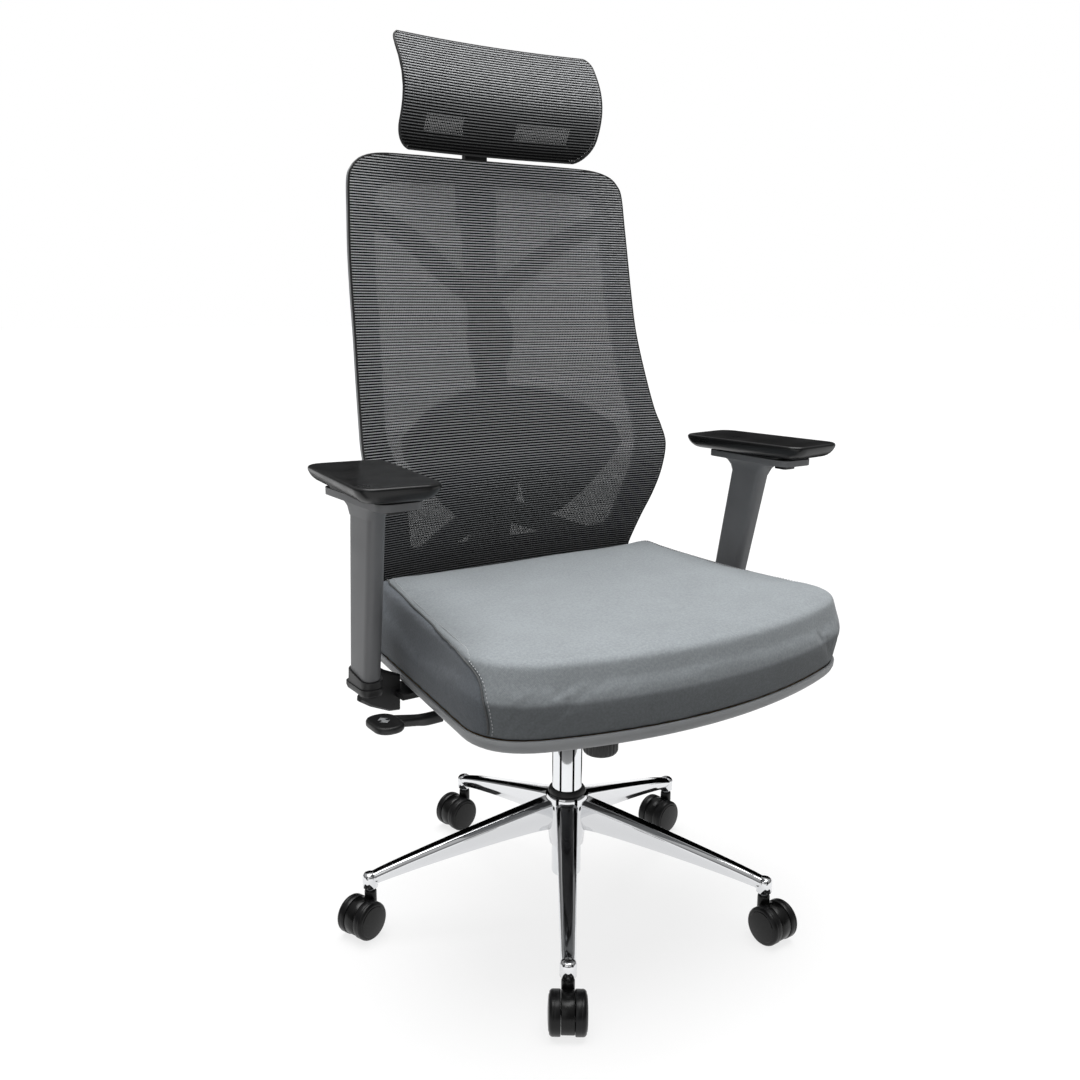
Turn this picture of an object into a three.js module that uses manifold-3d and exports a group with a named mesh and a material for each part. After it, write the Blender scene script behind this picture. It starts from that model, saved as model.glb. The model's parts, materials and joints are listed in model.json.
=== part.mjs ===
// Ergonomic office chair with a mesh back, a mesh headrest, adjustable arms, a padded seat and a
// five-star base on twin-wheel casters. Millimetres, +Z up, the sitter faces -Y. The origin is on
// the floor, on the axis of the gas lift.
import * as THREE from "three";
import { mergeVertices } from "three/addons/utils/BufferGeometryUtils.js";
import Module from "manifold-3d";

const wasm = await Module();
wasm.setup();
const deg = Math.PI / 180;
const gap = 0.3; // between pieces that touch
const running = 0.3; // round a shaft that turns or slides

// Base and casters
const legCount = 5;
const legTurn = -35; // of the first leg, from straight ahead
const stemCircle = 267; // radius of the circle of caster stems
const bossRadius = 9.8;
const tubeRadius = 20; // of the gas lift
const hubRadius = tubeRadius + 9;
const hubBottom = 84;
const hubTop = 158;
const wheelRadius = 25;
const bossBottom = 2 * wheelRadius + 10;
const bossTop = bossBottom + 20;
const wheelWidth = 15;
const forkWidth = 15.6; // of the hood between the two wheels
const casterTrail = 17;
const casterTurns = [-35, 2, -80, -80, -70]; // where each caster trails, from straight ahead
const stemRadius = 5.5;
const axleRadius = 3;

// Gas lift
const tubeBottom = 40;
const tubeTop = 262;
const tubeWall = 3;
const cylinderRadius = tubeRadius - 6;
const cylinderTop = 317;
const cylinderBottom = 62;
const rodRadius = 5;
const pistonTop = 182;

// Seat
const seatWide = 541; // across the front corners
const seatRearWide = 446;
const seatFront = -290; // the furthest point of the front edge
const seatBow = 62; // how far the front edge runs ahead of its corners
const seatRear = 116;
const seatCorner = 58;
const rimTop = 366; // top of the shell's visible rim
const rimHeight = 14;
const shellFloor = 347; // underside of the shell's middle
const shellWall = 4;
const boardThick = 6;
const cushionTop = 449; // of its edge
const cushionCrown = 6;
const cushionRise = 11; // toward its rear
const riseFront = -70; // y where it starts

// Mechanism
const plateThick = 4;
const plateWide = 230;
const plateFront = -132;
const plateRear = 100;
const caseWide = 150;
const caseFront = -126;
const caseRear = 80;
const caseBottom = 292;
const caseWall = 5;
const frontPinY = -108;
const frontPinZ = 322;
const backPinY = 58;
const backPinZ = 305;
const knobY = -72;
const knobRadius = 23;
const knobBottom = 239;
const leverY = -30;
const leverZ = 320;
const leverPivotX = -(caseWide / 2 + 5);
const paddleX = -287;
const paddleY = -44;
const paddleLong = 50;
const paddleWide = 36;

// Arms
const armX = seatWide / 2 + 21.5;
const postLean = 10; // forward of upright
const postSplay = 2.2; // outward of upright
const postFootY = 11;
const postFootZ = 376;
const postLong = 206;
const postDeep = 47; // at its foot
const postTopDeep = 57;
const postWide = 22;
const postWall = 5;
const armPlateLong = 150;
const armPlateWide = 54;
const armPlateZ = 589;
const armPlateThick = 8;
const armPlateY = -38;
const padLong = 200;
const padWide = 94;
const padTop = 619;
const padBottom = 601;
const padToe = 6.5; // outward at the front
const bracketInner = 150;
const bracketDeep = 54;
const footDrop = 24; // of the bracket's boot below the foot of the post

// Back
const backSag = 22; // of the mesh between its edges
const backMiddleHalf = 222;
const windowBottom = 484;
const windowTop = 949;
const frameBand = 38;
const frameThick = 9;
const meshThick = 2.4;
const spineWide = 46;
const spineThick = 16;
const lumbarNear = 9.5; // behind the mesh's face, so that the pad can slide
const lumbarThick = 9;

// Headrest
const headHalf = 149;
const headBottom = 986;
const headTop = 1122;
const headBulge = 31;
const headY = 178;
const headSag = 14;
const headWindowLow = 1006;
const headWindowHigh = 1028;
const windowInner = 26;
const windowOuter = 112;
const headPostWide = 34;
const headPostThick = 9;
const headPinY = 212;
const headPinZ = 1052;
const headPostY = 230;

const looks = {
  chrome: { color: 0xd8dbde, metalness: 1, roughness: 0.1 },
  steel: { color: 0x9a9da0, metalness: 1, roughness: 0.4 },
  blackPlastic: { color: 0x1b1b1c, metalness: 0, roughness: 0.5 },
  greyPlastic: { color: 0x8f9192, metalness: 0, roughness: 0.45 },
  armGrey: { color: 0x6f7071, metalness: 0, roughness: 0.45 },
  fabric: { color: 0x9a9fa4, metalness: 0, roughness: 0.95 },
  mesh: { color: 0x4a4c4e, metalness: 0, roughness: 0.9 },
  wood: { color: 0xb59a6c, metalness: 0, roughness: 0.8 },
};
const chair = new THREE.Group();

// ---- Helpers ----

function part(name, look, geometry, parent = chair) {
  const mesh = new THREE.Mesh(geometry, new THREE.MeshStandardMaterial(looks[look]));
  mesh.name = name;
  parent.add(mesh);
  return mesh;
}

function toSolid(geometry) {
  const bare = new THREE.BufferGeometry().setAttribute("position", geometry.getAttribute("position"));
  if (geometry.index) bare.setIndex(geometry.index);
  const merged = mergeVertices(bare, 1e-4);
  const triVerts = new Uint32Array(merged.index.array);
  const vertProperties = merged.attributes.position.array;
  return new wasm.Manifold(new wasm.Mesh({ numProp: 3, vertProperties, triVerts }));
}

function toGeometry(solid) {
  const mesh = solid.getMesh();
  const positions = new Float32Array(mesh.numVert * 3);
  for (let i = 0; i < mesh.numVert; i++) {
    const start = i * mesh.numProp;
    positions.set(mesh.vertProperties.subarray(start, start + 3), i * 3);
  }
  return new THREE.BufferGeometry()
    .setAttribute("position", new THREE.BufferAttribute(positions, 3))
    .setIndex(new THREE.BufferAttribute(mesh.triVerts, 1));
}

const join = (...pieces) => toGeometry(pieces.map(toSolid).reduce((a, b) => a.add(b)));
const cut = (piece, ...tools) =>
  toGeometry(tools.map(toSolid).reduce((a, b) => a.subtract(b), toSolid(piece)));

// A box given by its lowest and highest corners.
function block(low, high) {
  const size = high.map((value, i) => value - low[i]);
  const middle = high.map((value, i) => (value + low[i]) / 2);
  return new THREE.BoxGeometry(...size).translate(...middle);
}

function upright(radius, low, high, x = 0, y = 0, sides = 32) {
  return new THREE.CylinderGeometry(radius, radius, high - low, sides)
    .rotateX(90 * deg)
    .translate(x, y, (low + high) / 2);
}

function crosswise(radius, low, high, y, z, sides = 24) {
  return new THREE.CylinderGeometry(radius, radius, high - low, sides)
    .rotateZ(90 * deg)
    .translate((low + high) / 2, y, z);
}

// A profile of [radius, height] turned about the Z axis.
function turned(profile, sides = 32) {
  const points = profile.map(([radius, height]) => new THREE.Vector2(radius, height));
  return new THREE.LatheGeometry(points, sides).rotateX(90 * deg);
}

function roundedRectangle(wide, deep, radius) {
  const [x, y] = [wide / 2 - radius, deep / 2 - radius];
  const shape = new THREE.Shape();
  shape.absarc(x, -y, radius, -90 * deg, 0);
  shape.absarc(x, y, radius, 0, 90 * deg);
  shape.absarc(-x, y, radius, 90 * deg, 180 * deg);
  shape.absarc(-x, -y, radius, 180 * deg, 270 * deg);
  shape.closePath();
  return shape;
}

const polygon = (points) => new THREE.Shape(points.map(([x, y]) => new THREE.Vector2(x, y)));

function slab(shape, low, high, curveSegments = 3) {
  const settings = { depth: high - low, bevelEnabled: false, curveSegments };
  return new THREE.ExtrudeGeometry(shape, settings).translate(0, 0, low);
}

// A shape drawn in side view, as (y, z), extruded across from one x to another.
function sideSlab(shape, low, high, curveSegments = 3) {
  const turn = new THREE.Matrix4().makeBasis(
    new THREE.Vector3(0, 1, 0), new THREE.Vector3(0, 0, 1), new THREE.Vector3(1, 0, 0));
  return slab(shape, 0, high - low, curveSegments).applyMatrix4(turn).translate(low, 0, 0);
}

// A closed skin through rings of equally many points, capped at its ends or joined end to end.
function loft(rings, endless = false) {
  const count = rings[0].length;
  const points = rings.flat();
  const faces = [];
  const last = endless ? rings.length : rings.length - 1;
  for (let i = 0; i < last; i++) {
    const [here, next] = [i * count, ((i + 1) % rings.length) * count];
    for (let j = 0; j < count; j++) {
      const k = (j + 1) % count;
      faces.push([here + j, here + k, next + k], [here + j, next + k, next + j]);
    }
  }
  if (!endless) {
    const cap = (ring, start, flip) => {
      const middle = points.length;
      points.push([0, 1, 2].map((axis) => ring.reduce((sum, p) => sum + p[axis], 0) / count));
      for (let j = 0; j < count; j++) {
        const edge = [start + j, start + ((j + 1) % count)];
        faces.push(flip ? [middle, edge[1], edge[0]] : [middle, edge[0], edge[1]]);
      }
    };
    cap(rings[0], 0, true);
    cap(rings[rings.length - 1], (rings.length - 1) * count, false);
  }
  return outward(points, faces);
}

// Triangles from points and faces, turned round where they would face inwards.
function outward(points, faces) {
  const volume = faces.reduce((sum, [a, b, c]) => {
    const [p, q, r] = [a, b, c].map((i) => new THREE.Vector3(...points[i]));
    return sum + p.dot(q.cross(r));
  }, 0);
  const index = faces.flatMap(([a, b, c]) => (volume < 0 ? [a, c, b] : [a, b, c]));
  return new THREE.BufferGeometry()
    .setAttribute("position", new THREE.Float32BufferAttribute(points.flat(), 3))
    .setIndex(index);
}

// A bar of changing chamfered section along a path. Each stop is [point, width, thickness], and the
// thickness lies along the given direction as nearly as the path allows.
function strap(stops, along = [0, 1, 0], chamferShare = 0.28) {
  const places = stops.map(([point]) => new THREE.Vector3(...point));
  const rings = stops.map(([, wide, thick], i) => {
    const before = places[Math.max(i - 1, 0)];
    const after = places[Math.min(i + 1, places.length - 1)];
    const forward = after.clone().sub(before).normalize();
    const across = forward.clone().cross(new THREE.Vector3(...along)).normalize();
    const up = across.clone().cross(forward);
    const chamfer = Math.min(wide, thick) * chamferShare;
    const [w, t] = [wide / 2, thick / 2];
    const section = [
      [w - chamfer, t], [w, t - chamfer], [w, chamfer - t], [w - chamfer, -t],
      [chamfer - w, -t], [-w, chamfer - t], [-w, t - chamfer], [chamfer - w, t],
    ];
    return section.map(([a, b]) =>
      places[i].clone().addScaledVector(across, a).addScaledVector(up, b).toArray());
  });
  return loft(rings);
}

// ---- Base ----

// One leg running ahead (-Y) from the hub, with a flat top facet and a web that deepens inwards.
function leg() {
  const legLong = stemCircle - hubRadius;
  const tipHeight = bossTop - 1;
  const climb = hubTop - 5 - bossTop;
  const rise = (r) => tipHeight + climb * Math.pow(1 - (r - hubRadius) / legLong, 0.92);
  const stops = [hubRadius - 15, hubRadius, 90, 175, stemCircle - 14, stemCircle];
  const rings = stops.map((r) => {
    const t = Math.max(0, (r - hubRadius) / legLong);
    const top = r < hubRadius ? rise(hubRadius) : rise(r);
    const half = THREE.MathUtils.lerp(15, 9.2, t);
    const facet = THREE.MathUtils.lerp(9, 5.6, t);
    const deep = THREE.MathUtils.lerp(46, 17, Math.pow(t, 0.8));
    const section = [
      [facet, 0], [half, -6], [half * 0.86, -deep * 0.6], [4, -deep],
      [-4, -deep], [-half * 0.86, -deep * 0.6], [-half, -6], [-facet, 0],
    ];
    return section.map(([a, b]) => [a, -r, top + b]);
  });
  return loft(rings);
}

function starBase() {
  const hub = turned([
    [0, hubBottom], [hubRadius - 6, hubBottom], [hubRadius, hubTop - 22], [hubRadius, hubTop - 3],
    [hubRadius - 3, hubTop], [0, hubTop],
  ], 24);
  const boss = turned([
    [0, bossBottom], [bossRadius, bossBottom], [bossRadius, bossTop - 5], [bossRadius - 4, bossTop + 0.5],
    [0, bossTop + 0.5],
  ], 12);
  const pieces = [hub];
  const sockets = [];
  for (let i = 0; i < legCount; i++) {
    const turn = (legTurn + (i * 360) / legCount) * deg;
    pieces.push(leg().rotateZ(turn), boss.clone().translate(0, -stemCircle, 0).rotateZ(turn));
    const socketTop = bossTop - 3;
    const socket = upright(stemRadius + 2 * running, bossBottom - 5, socketTop, 0, -stemCircle, 8);
    sockets.push(socket.rotateZ(turn));
  }
  const bore = upright(tubeRadius + gap, hubBottom - 5, hubTop + 5, 0, 0, 24);
  return cut(join(...pieces), bore, ...sockets);
}

function buildBase() {
  part("star_base", "chrome", starBase());
  const [outer, inner] = [tubeRadius, tubeRadius - tubeWall];
  const hole = rodRadius + 4;
  part("lift_tube", "chrome", turned([
    [hole, tubeBottom], [outer - 2, tubeBottom], [outer, tubeBottom + 3], [outer, tubeTop], [inner, tubeTop],
    [inner, tubeBottom + 4], [hole, tubeBottom + 4], [hole, tubeBottom],
  ], 24));
  // The guide bush closes the tube's mouth round the cylinder, and the collar trims the hub.
  const bushInner = cylinderRadius + running;
  part("guide_bush", "blackPlastic", turned([
    [bushInner, tubeTop - 40], [inner - gap, tubeTop - 40],
    [inner - gap, tubeTop + gap], [outer, tubeTop + gap],
    [outer, tubeTop + 6], [bushInner, tubeTop + 6], [bushInner, tubeTop - 40],
  ], 24));
  part("hub_collar", "blackPlastic", turned([
    [outer + gap, hubTop + gap], [outer + 5, hubTop + gap],
    [outer + 4, hubTop + 7], [outer + gap, hubTop + 7],
    [outer + gap, hubTop + gap],
  ], 24));
  const bearingTop = tubeBottom + 4 + gap + 6;
  part("thrust_bearing", "steel", turned([
    [rodRadius + running, bearingTop - 6], [inner - 3, bearingTop - 6], [inner - 3, bearingTop],
    [rodRadius + running, bearingTop], [rodRadius + running, bearingTop - 6],
  ], 16));
}

// ---- Casters ----

// The hood is a solid web between the wheels, open below, with the neck and the pressed-in axle.
function casterHood() {
  const reach = wheelRadius - 0.6;
  const web = new THREE.Shape();
  web.moveTo(-Math.cos(36 * deg) * reach, -Math.sin(36 * deg) * reach);
  web.absarc(0, 0, reach, 216 * deg, 28 * deg, true);
  web.lineTo(6, -7);
  web.lineTo(-6, -7);
  web.closePath();
  const [half, y] = [forkWidth / 2, -casterTrail];
  const body = sideSlab(web, -half, half, 7).translate(0, y, wheelRadius);
  const neck = upright(half, wheelRadius + 6, bossBottom - 3, 0, 0, 16);
  const axleHalf = half + wheelWidth - 5;
  const axle = crosswise(axleRadius, -axleHalf, axleHalf, y, wheelRadius, 12);
  const bore = upright(stemRadius + gap, wheelRadius + 14, bossBottom, 0, 0, 12);
  return cut(join(body, neck, axle), bore);
}

// A wheel turned about X, with its inner face at x = 0 and a domed cap on its outer face.
function casterWheel() {
  const [r, w] = [wheelRadius, wheelWidth];
  const bore = axleRadius + running;
  return turned([
    [0, w - 4], [bore, w - 4], [bore, 0], [r - 1, 0], [r, 1], [r, w * 0.55], [r - 5, w * 0.88], [0, w],
  ], 24).rotateY(90 * deg);
}

function buildCasters() {
  for (let i = 0; i < legCount; i++) {
    const turn = (legTurn + (i * 360) / legCount) * deg;
    const caster = new THREE.Group();
    caster.position.set(stemCircle * Math.sin(turn), -stemCircle * Math.cos(turn), 0);
    caster.rotation.z = casterTurns[i] * deg;
    chair.add(caster);
    const n = i + 1;
    part(`caster_stem_${n}`, "steel", turned([
      [0, wheelRadius + 14.3], [stemRadius, wheelRadius + 14.3], [stemRadius, bossTop - 7],
      [stemRadius - 1, bossTop - 5], [0, bossTop - 5],
    ], 12), caster);
    part(`caster_hood_${n}`, "blackPlastic", casterHood(), caster);
    const offset = forkWidth / 2 + gap;
    const right = casterWheel().translate(offset, -casterTrail, wheelRadius);
    part(`caster_wheel_${n}a`, "blackPlastic", right, caster);
    const left = casterWheel().rotateZ(180 * deg).translate(-offset, -casterTrail, wheelRadius);
    part(`caster_wheel_${n}b`, "blackPlastic", left, caster);
  }
}

// ---- Lift and mechanism ----

function buildLift() {
  const rodBottom = tubeBottom + 5;
  const pistonRadius = cylinderRadius - 2.5 - running;
  part("piston_rod", "steel", turned([
    [0, rodBottom], [rodRadius, rodBottom], [rodRadius, pistonTop - 8], [pistonRadius, pistonTop - 8],
    [pistonRadius, pistonTop], [0, pistonTop],
  ], 16));
  const inner = cylinderRadius - 2.5;
  const button = 4;
  part("gas_cylinder", "chrome", turned([
    [rodRadius + running, cylinderBottom], [cylinderRadius, cylinderBottom], [cylinderRadius, cylinderTop],
    [button, cylinderTop], [button, cylinderTop + 5], [0, cylinderTop + 5], [0, cylinderTop - 6],
    [inner, cylinderTop - 6], [inner, cylinderBottom + 5], [rodRadius + running, cylinderBottom + 5],
    [rodRadius + running, cylinderBottom],
  ], 24));
}

const plateTop = shellFloor - gap;
const plateBottom = plateTop - plateThick;
const tiltDrop = Math.tan(9 * deg); // room under the plate for the seat's tilt

function mechanismCase() {
  const half = caseWide / 2;
  const topAt = (y) => plateBottom - 2 - Math.max(0, y - frontPinY) * tiltDrop;
  const profile = polygon([
    [caseFront, caseBottom + 8], [caseFront + 10, caseBottom], [caseRear - 12, caseBottom],
    [caseRear, caseBottom + 7], [caseRear, topAt(caseRear)], [frontPinY, topAt(frontPinY)],
    [caseFront, topAt(caseFront)],
  ]);
  const pocket = polygon([
    [caseFront + caseWall, caseBottom + 6], [caseRear - caseWall, caseBottom + 6],
    [caseRear - caseWall, plateTop + 10], [caseFront + caseWall, plateTop + 10],
  ]);
  const tray = cut(sideSlab(profile, -half, half), sideSlab(pocket, -half + caseWall, half - caseWall));
  const tower = upright(cylinderRadius + 9, caseBottom - 8, topAt(cylinderRadius + 9) - 1, 0, 0, 24);
  return cut(
    join(tray, tower),
    upright(cylinderRadius + gap, caseBottom - 20, cylinderTop + gap, 0, 0, 24),
    upright(5, cylinderTop - 1, plateTop, 0, 0, 12),
    upright(6 + running, caseBottom - 2, caseBottom + 10, 0, knobY, 12),
    crosswise(5 + gap, -half - 5, half + 5, frontPinY, frontPinZ, 16),
    crosswise(6 + gap, -half - 5, half + 5, backPinY, backPinZ, 16),
    block([-half - 5, leverY - 9, leverZ - 11], [-half + caseWall + 5, leverY + 9, leverZ + 11]),
  );
}

function coilSpring(radius, wire, low, high, turns) {
  const points = [];
  const steps = turns * 10;
  for (let i = 0; i <= steps; i++) {
    const angle = (i / 10) * 360 * deg;
    const z = THREE.MathUtils.lerp(low, high, i / steps);
    points.push(new THREE.Vector3(radius * Math.cos(angle), radius * Math.sin(angle), z));
  }
  const section = new THREE.Shape().absarc(0, 0, wire, 0, 360 * deg);
  const extrudePath = new THREE.CatmullRomCurve3(points);
  return new THREE.ExtrudeGeometry(section, { steps, extrudePath, curveSegments: 3 });
}

function tensionKnob() {
  const lobes = new THREE.Shape();
  const count = 32;
  for (let i = 0; i <= count; i++) {
    const angle = (i / count) * 360 * deg;
    const r = knobRadius - 1.2 + 1.2 * Math.cos(angle * 8);
    lobes[i ? "lineTo" : "moveTo"](r * Math.cos(angle), r * Math.sin(angle));
  }
  const grip = slab(lobes, knobBottom + 2, knobBottom + 24);
  const cap = upright(knobRadius - 5, knobBottom, knobBottom + 3, 0, 0, 24);
  const collar = upright(14, knobBottom + 23, caseBottom - 1.5, 0, 0, 16);
  const screw = upright(6, caseBottom - 2, caseBottom + 42, 0, 0, 12);
  return join(grip, cap, collar, screw).translate(0, knobY, 0);
}

// The paddle's outline in plan: a rounded blade with a narrower neck towards the rod.
function leverPaddle() {
  const blade = roundedRectangle(paddleWide, paddleLong, 16);
  const low = leverZ - 6;
  const plate = slab(blade, low, low + 9).translate(paddleX, paddleY, 13);
  const neck = strap([
    [[leverPivotX - 128, leverY, leverZ], 15, 13], [[leverPivotX - 150, leverY, leverZ], 16, 12],
    [[leverPivotX - 170, leverY - 5, leverZ + 5], 20, 10],
    [[paddleX + 13, paddleY + 4, leverZ + 11], 26, 9],
  ], [0, 0, 1]);
  const bore = crosswise(4 + gap, leverPivotX - 160, leverPivotX - 120, leverY, leverZ, 12);
  return cut(join(plate, neck), bore);
}

function buildMechanism() {
  const half = caseWide / 2;
  part("mechanism_case", "steel", mechanismCase());
  part("front_pin", "steel", crosswise(5, -half - 9, half + 9, frontPinY, frontPinZ, 16));
  part("back_pin", "steel", crosswise(6, -half - 11, half + 11, backPinY, backPinZ, 16));
  const spring = coilSpring(14, 2.2, caseBottom + 9.5, caseBottom + 36, 4);
  part("tilt_spring", "steel", spring.translate(0, knobY, 0));
  part("tension_knob", "blackPlastic", tensionKnob());
  const slotHalf = 4 + gap + 0.2;
  const bushLow = [leverPivotX - 14, leverY - 8.6, leverZ - 10.6];
  const bushHigh = [leverPivotX + 14, leverY + 8.6, leverZ + 10.6];
  const slot = block([leverPivotX - 20, leverY - slotHalf, leverZ - 7.4],
    [leverPivotX + 20, leverY + slotHalf, leverZ + 7.4]);
  part("lever_bush", "blackPlastic", cut(block(bushLow, bushHigh), slot));
  const rod = crosswise(4, leverPivotX - 158, leverPivotX + 44, leverY, leverZ, 12);
  part("lever_rod", "steel", rod);
  part("lever_paddle", "blackPlastic", leverPaddle());
}

// ---- Seat ----

// The seat's outline in plan, drawn in by an inset: a bowed front edge, straight sides that
// narrow to the rear, and round corners.
function seatOutline(inset) {
  const corner = [seatWide / 2, seatFront + seatBow];
  const rear = [seatRearWide / 2, seatRear];
  const points = [];
  const steps = 5;
  for (let i = -steps; i <= steps; i++) {
    const x = (i / steps) * (corner[0] - seatCorner);
    points.push([x, seatFront + seatBow * Math.pow(x / corner[0], 2)]);
  }
  const start = points[points.length - 1];
  const side = new THREE.Vector2(rear[0] - corner[0], rear[1] - corner[1]).normalize();
  const end = [corner[0] + side.x * seatCorner, corner[1] + side.y * seatCorner];
  const right = [];
  for (let i = 1; i <= 5; i++) {
    const t = i / 5;
    const mix = (axis) => (1 - t) ** 2 * start[axis] + 2 * t * (1 - t) * corner[axis] + t * t * end[axis];
    right.push([mix(0), mix(1)]);
  }
  right.push([(end[0] + rear[0]) / 2, (end[1] + rear[1]) / 2]);
  const rearCorner = 16;
  right.push([rear[0] - side.x * rearCorner, rear[1] - side.y * rearCorner], [rear[0] - 5, rear[1] - 4],
    [rear[0] - rearCorner, rear[1]]);
  const left = right.map(([x, y]) => [-x, y]).reverse();
  const middle = [0, (seatFront + seatRear) / 2];
  const [sx, sy] = [1 - inset / (seatWide / 2), 1 - inset / ((seatRear - seatFront) / 2)];
  return [...points, ...right, ...left].map(([x, y]) => [x * sx, middle[1] + (y - middle[1]) * sy]);
}

const level = (inset, z) => seatOutline(inset).map(([x, y]) => [x, y, z]);

function seatShell() {
  const rimBottom = rimTop - rimHeight;
  const body = loft([
    level(46, shellFloor), level(16, shellFloor + 1), level(5, rimBottom),
    level(1, rimBottom + 4), level(0, rimTop),
  ]);
  const pocket = loft([
    level(46, shellFloor + shellWall), level(20, shellFloor + shellWall + 1), level(9, rimBottom + shellWall),
    level(shellWall, rimBottom + shellWall + 3), level(shellWall, rimTop + 5),
  ]);
  return cut(body, pocket);
}

function buildSeat() {
  const [half, pinHalf] = [plateWide / 2, caseWide / 2 + 1];
  const sheet = slab(roundedRectangle(plateWide, plateRear - plateFront, 20), plateBottom, plateTop);
  const ear = (x) => cut(
    block([x - 2, frontPinY - 14, frontPinZ - 11], [x + 2, frontPinY + 14, plateBottom + 1]),
    crosswise(5 + running, x - 9, x + 9, frontPinY, frontPinZ),
  );
  const earX = pinHalf + 3;
  const plate = sheet.translate(0, (plateRear + plateFront) / 2, 0);
  part("seat_plate", "steel", join(plate, ear(earX), ear(-earX)));
  part("seat_shell", "greyPlastic", seatShell());
  const boardInset = 9 + gap;
  const boardBottom = rimTop - rimHeight + shellWall + gap;
  part("seat_board", "wood", loft([
    level(boardInset, boardBottom), level(boardInset, boardBottom + boardThick),
  ]));
  const foot = boardBottom + boardThick + gap;
  const padded = (inset, height) => level(inset, height).map(([x, y, z]) => {
    const share = Math.min(1, Math.max(0, (y - riseFront) / (seatRear - riseFront)));
    return [x, y, z + cushionRise * Math.pow(share, 1.4) * (height - rimTop) / (cushionTop - rimTop)];
  });
  part("seat_cushion", "fabric", loft([
    level(boardInset, foot), level(boardInset, rimTop + gap), level(2, rimTop + gap + 0.5),
    padded(-2, rimTop + 22), padded(-5, cushionTop - 41), padded(2.5, cushionTop - 8),
    padded(6, cushionTop - 3.5), padded(24, cushionTop + 0.5), padded(90, cushionTop + cushionCrown),
  ]));
}

// ---- Arms ----

const innerWide = postWide - 2 * postWall - 1.6; // of the steel post inside the sleeve
const innerDeep = postDeep - 2 * postWall - 1.6;

const footX = armX - (armPlateZ - postFootZ) * Math.tan(postSplay * deg);
const lean = (geometry, side) => geometry.rotateX(postLean * deg).rotateY(side * postSplay * deg)
  .translate(side * footX, postFootY, postFootZ);

function armBracket(side) {
  const x = side * footX;
  const top = plateTop;
  const low = top - 7;
  const yMid = postFootY + 4;
  const footLow = postFootZ - footDrop;
  const barDeep = bracketDeep - 8;
  const elbow = footX - 38;
  const bar = block(
    [Math.min(side * bracketInner, side * elbow), yMid - barDeep / 2, low],
    [Math.max(side * bracketInner, side * elbow), yMid + barDeep / 2, top]);
  const riser = strap([
    [[side * (elbow - 6), yMid, low + 3.5], barDeep, 7], [[side * elbow, yMid, low + 3.5], barDeep, 7],
    [[side * (footX - 16), yMid, footLow + 1], barDeep, 10],
    [[side * (footX - 4), yMid, footLow + 9], barDeep, 14],
  ]);
  const bootShape = (inset) =>
    roundedRectangle(postWide + 6 - 2 * inset, bracketDeep + 4 - 2 * inset, 11 - inset);
  const bootRing = (inset, z) => bootShape(inset)
    .getPoints(3).slice(0, -1).map((p) => [x + p.x, yMid + p.y, z]);
  const boot = loft([
    bootRing(5, footLow), bootRing(1.5, footLow + 2), bootRing(0, footLow + 6), bootRing(0, footLow + 10),
  ]);
  const cup = lean(slab(roundedRectangle(postWide + 5, postDeep + 5, 11), 4 - footDrop, -gap), side);
  const room = 0.6;
  const pocket = lean(slab(roundedRectangle(innerWide + room, innerDeep + room, 3), 4 - footDrop, 5), side);
  return cut(join(bar, riser, boot, cup), pocket);
}

function armSleeve(side) {
  const x = side * armX;
  const section = (deep, z) => roundedRectangle(postWide, deep, 9)
    .getPoints(3).slice(0, -1).map((p) => [p.x, p.y, z]);
  const shaft = lean(loft([section(postDeep, 0), section(postTopDeep, postLong)]), side);
  const top = armPlateZ + armPlateThick;
  const plate = slab(roundedRectangle(armPlateWide, armPlateLong, 14), armPlateZ, top)
    .translate(x, armPlateY, 0);
  const headY = postFootY - (armPlateZ - postFootZ) * Math.tan(postLean * deg);
  const flare = loft([[0, postWide, postTopDeep], [10, postWide + 3, postTopDeep + 8],
    [17, postWide + 9, postTopDeep + 20], [21, postWide + 18, postTopDeep + 38]].map(([rise, wide, deep]) =>
    roundedRectangle(wide, deep, 9).getPoints(2).slice(0, -1)
      .map((p) => [x + p.x, headY + 3.5 - rise / 6 + p.y, armPlateZ - 20.5 + rise])));
  const hollow = lean(slab(roundedRectangle(postWide - 2 * postWall, postDeep - 2 * postWall, 4), -5,
    postLong - 28), side);
  const above = block([x - 99, -300, top], [x + 99, 200, top + 90]);
  const button = block([x - 11, armPlateY - 60, armPlateZ - 20], [x + 11, armPlateY - 38, armPlateZ + 5]);
  return cut(join(shaft, plate, flare), hollow, above, button);
}

function armPad(side) {
  const ring = (inset, z) => roundedRectangle(padWide - 2 * inset, padLong - 2 * inset, 20 - inset * 0.6)
    .getPoints(4).slice(0, -1).map((p) => [p.x, p.y, z]);
  const pad = loft([ring(13, padBottom), ring(9, padBottom + 1.5), ring(1, padTop - 4), ring(0, padTop - 2),
    ring(0.6, padTop - 0.6), ring(3, padTop)]);
  return pad.rotateZ(side * padToe * deg).translate(side * armX, armPlateY, 0);
}

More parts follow.
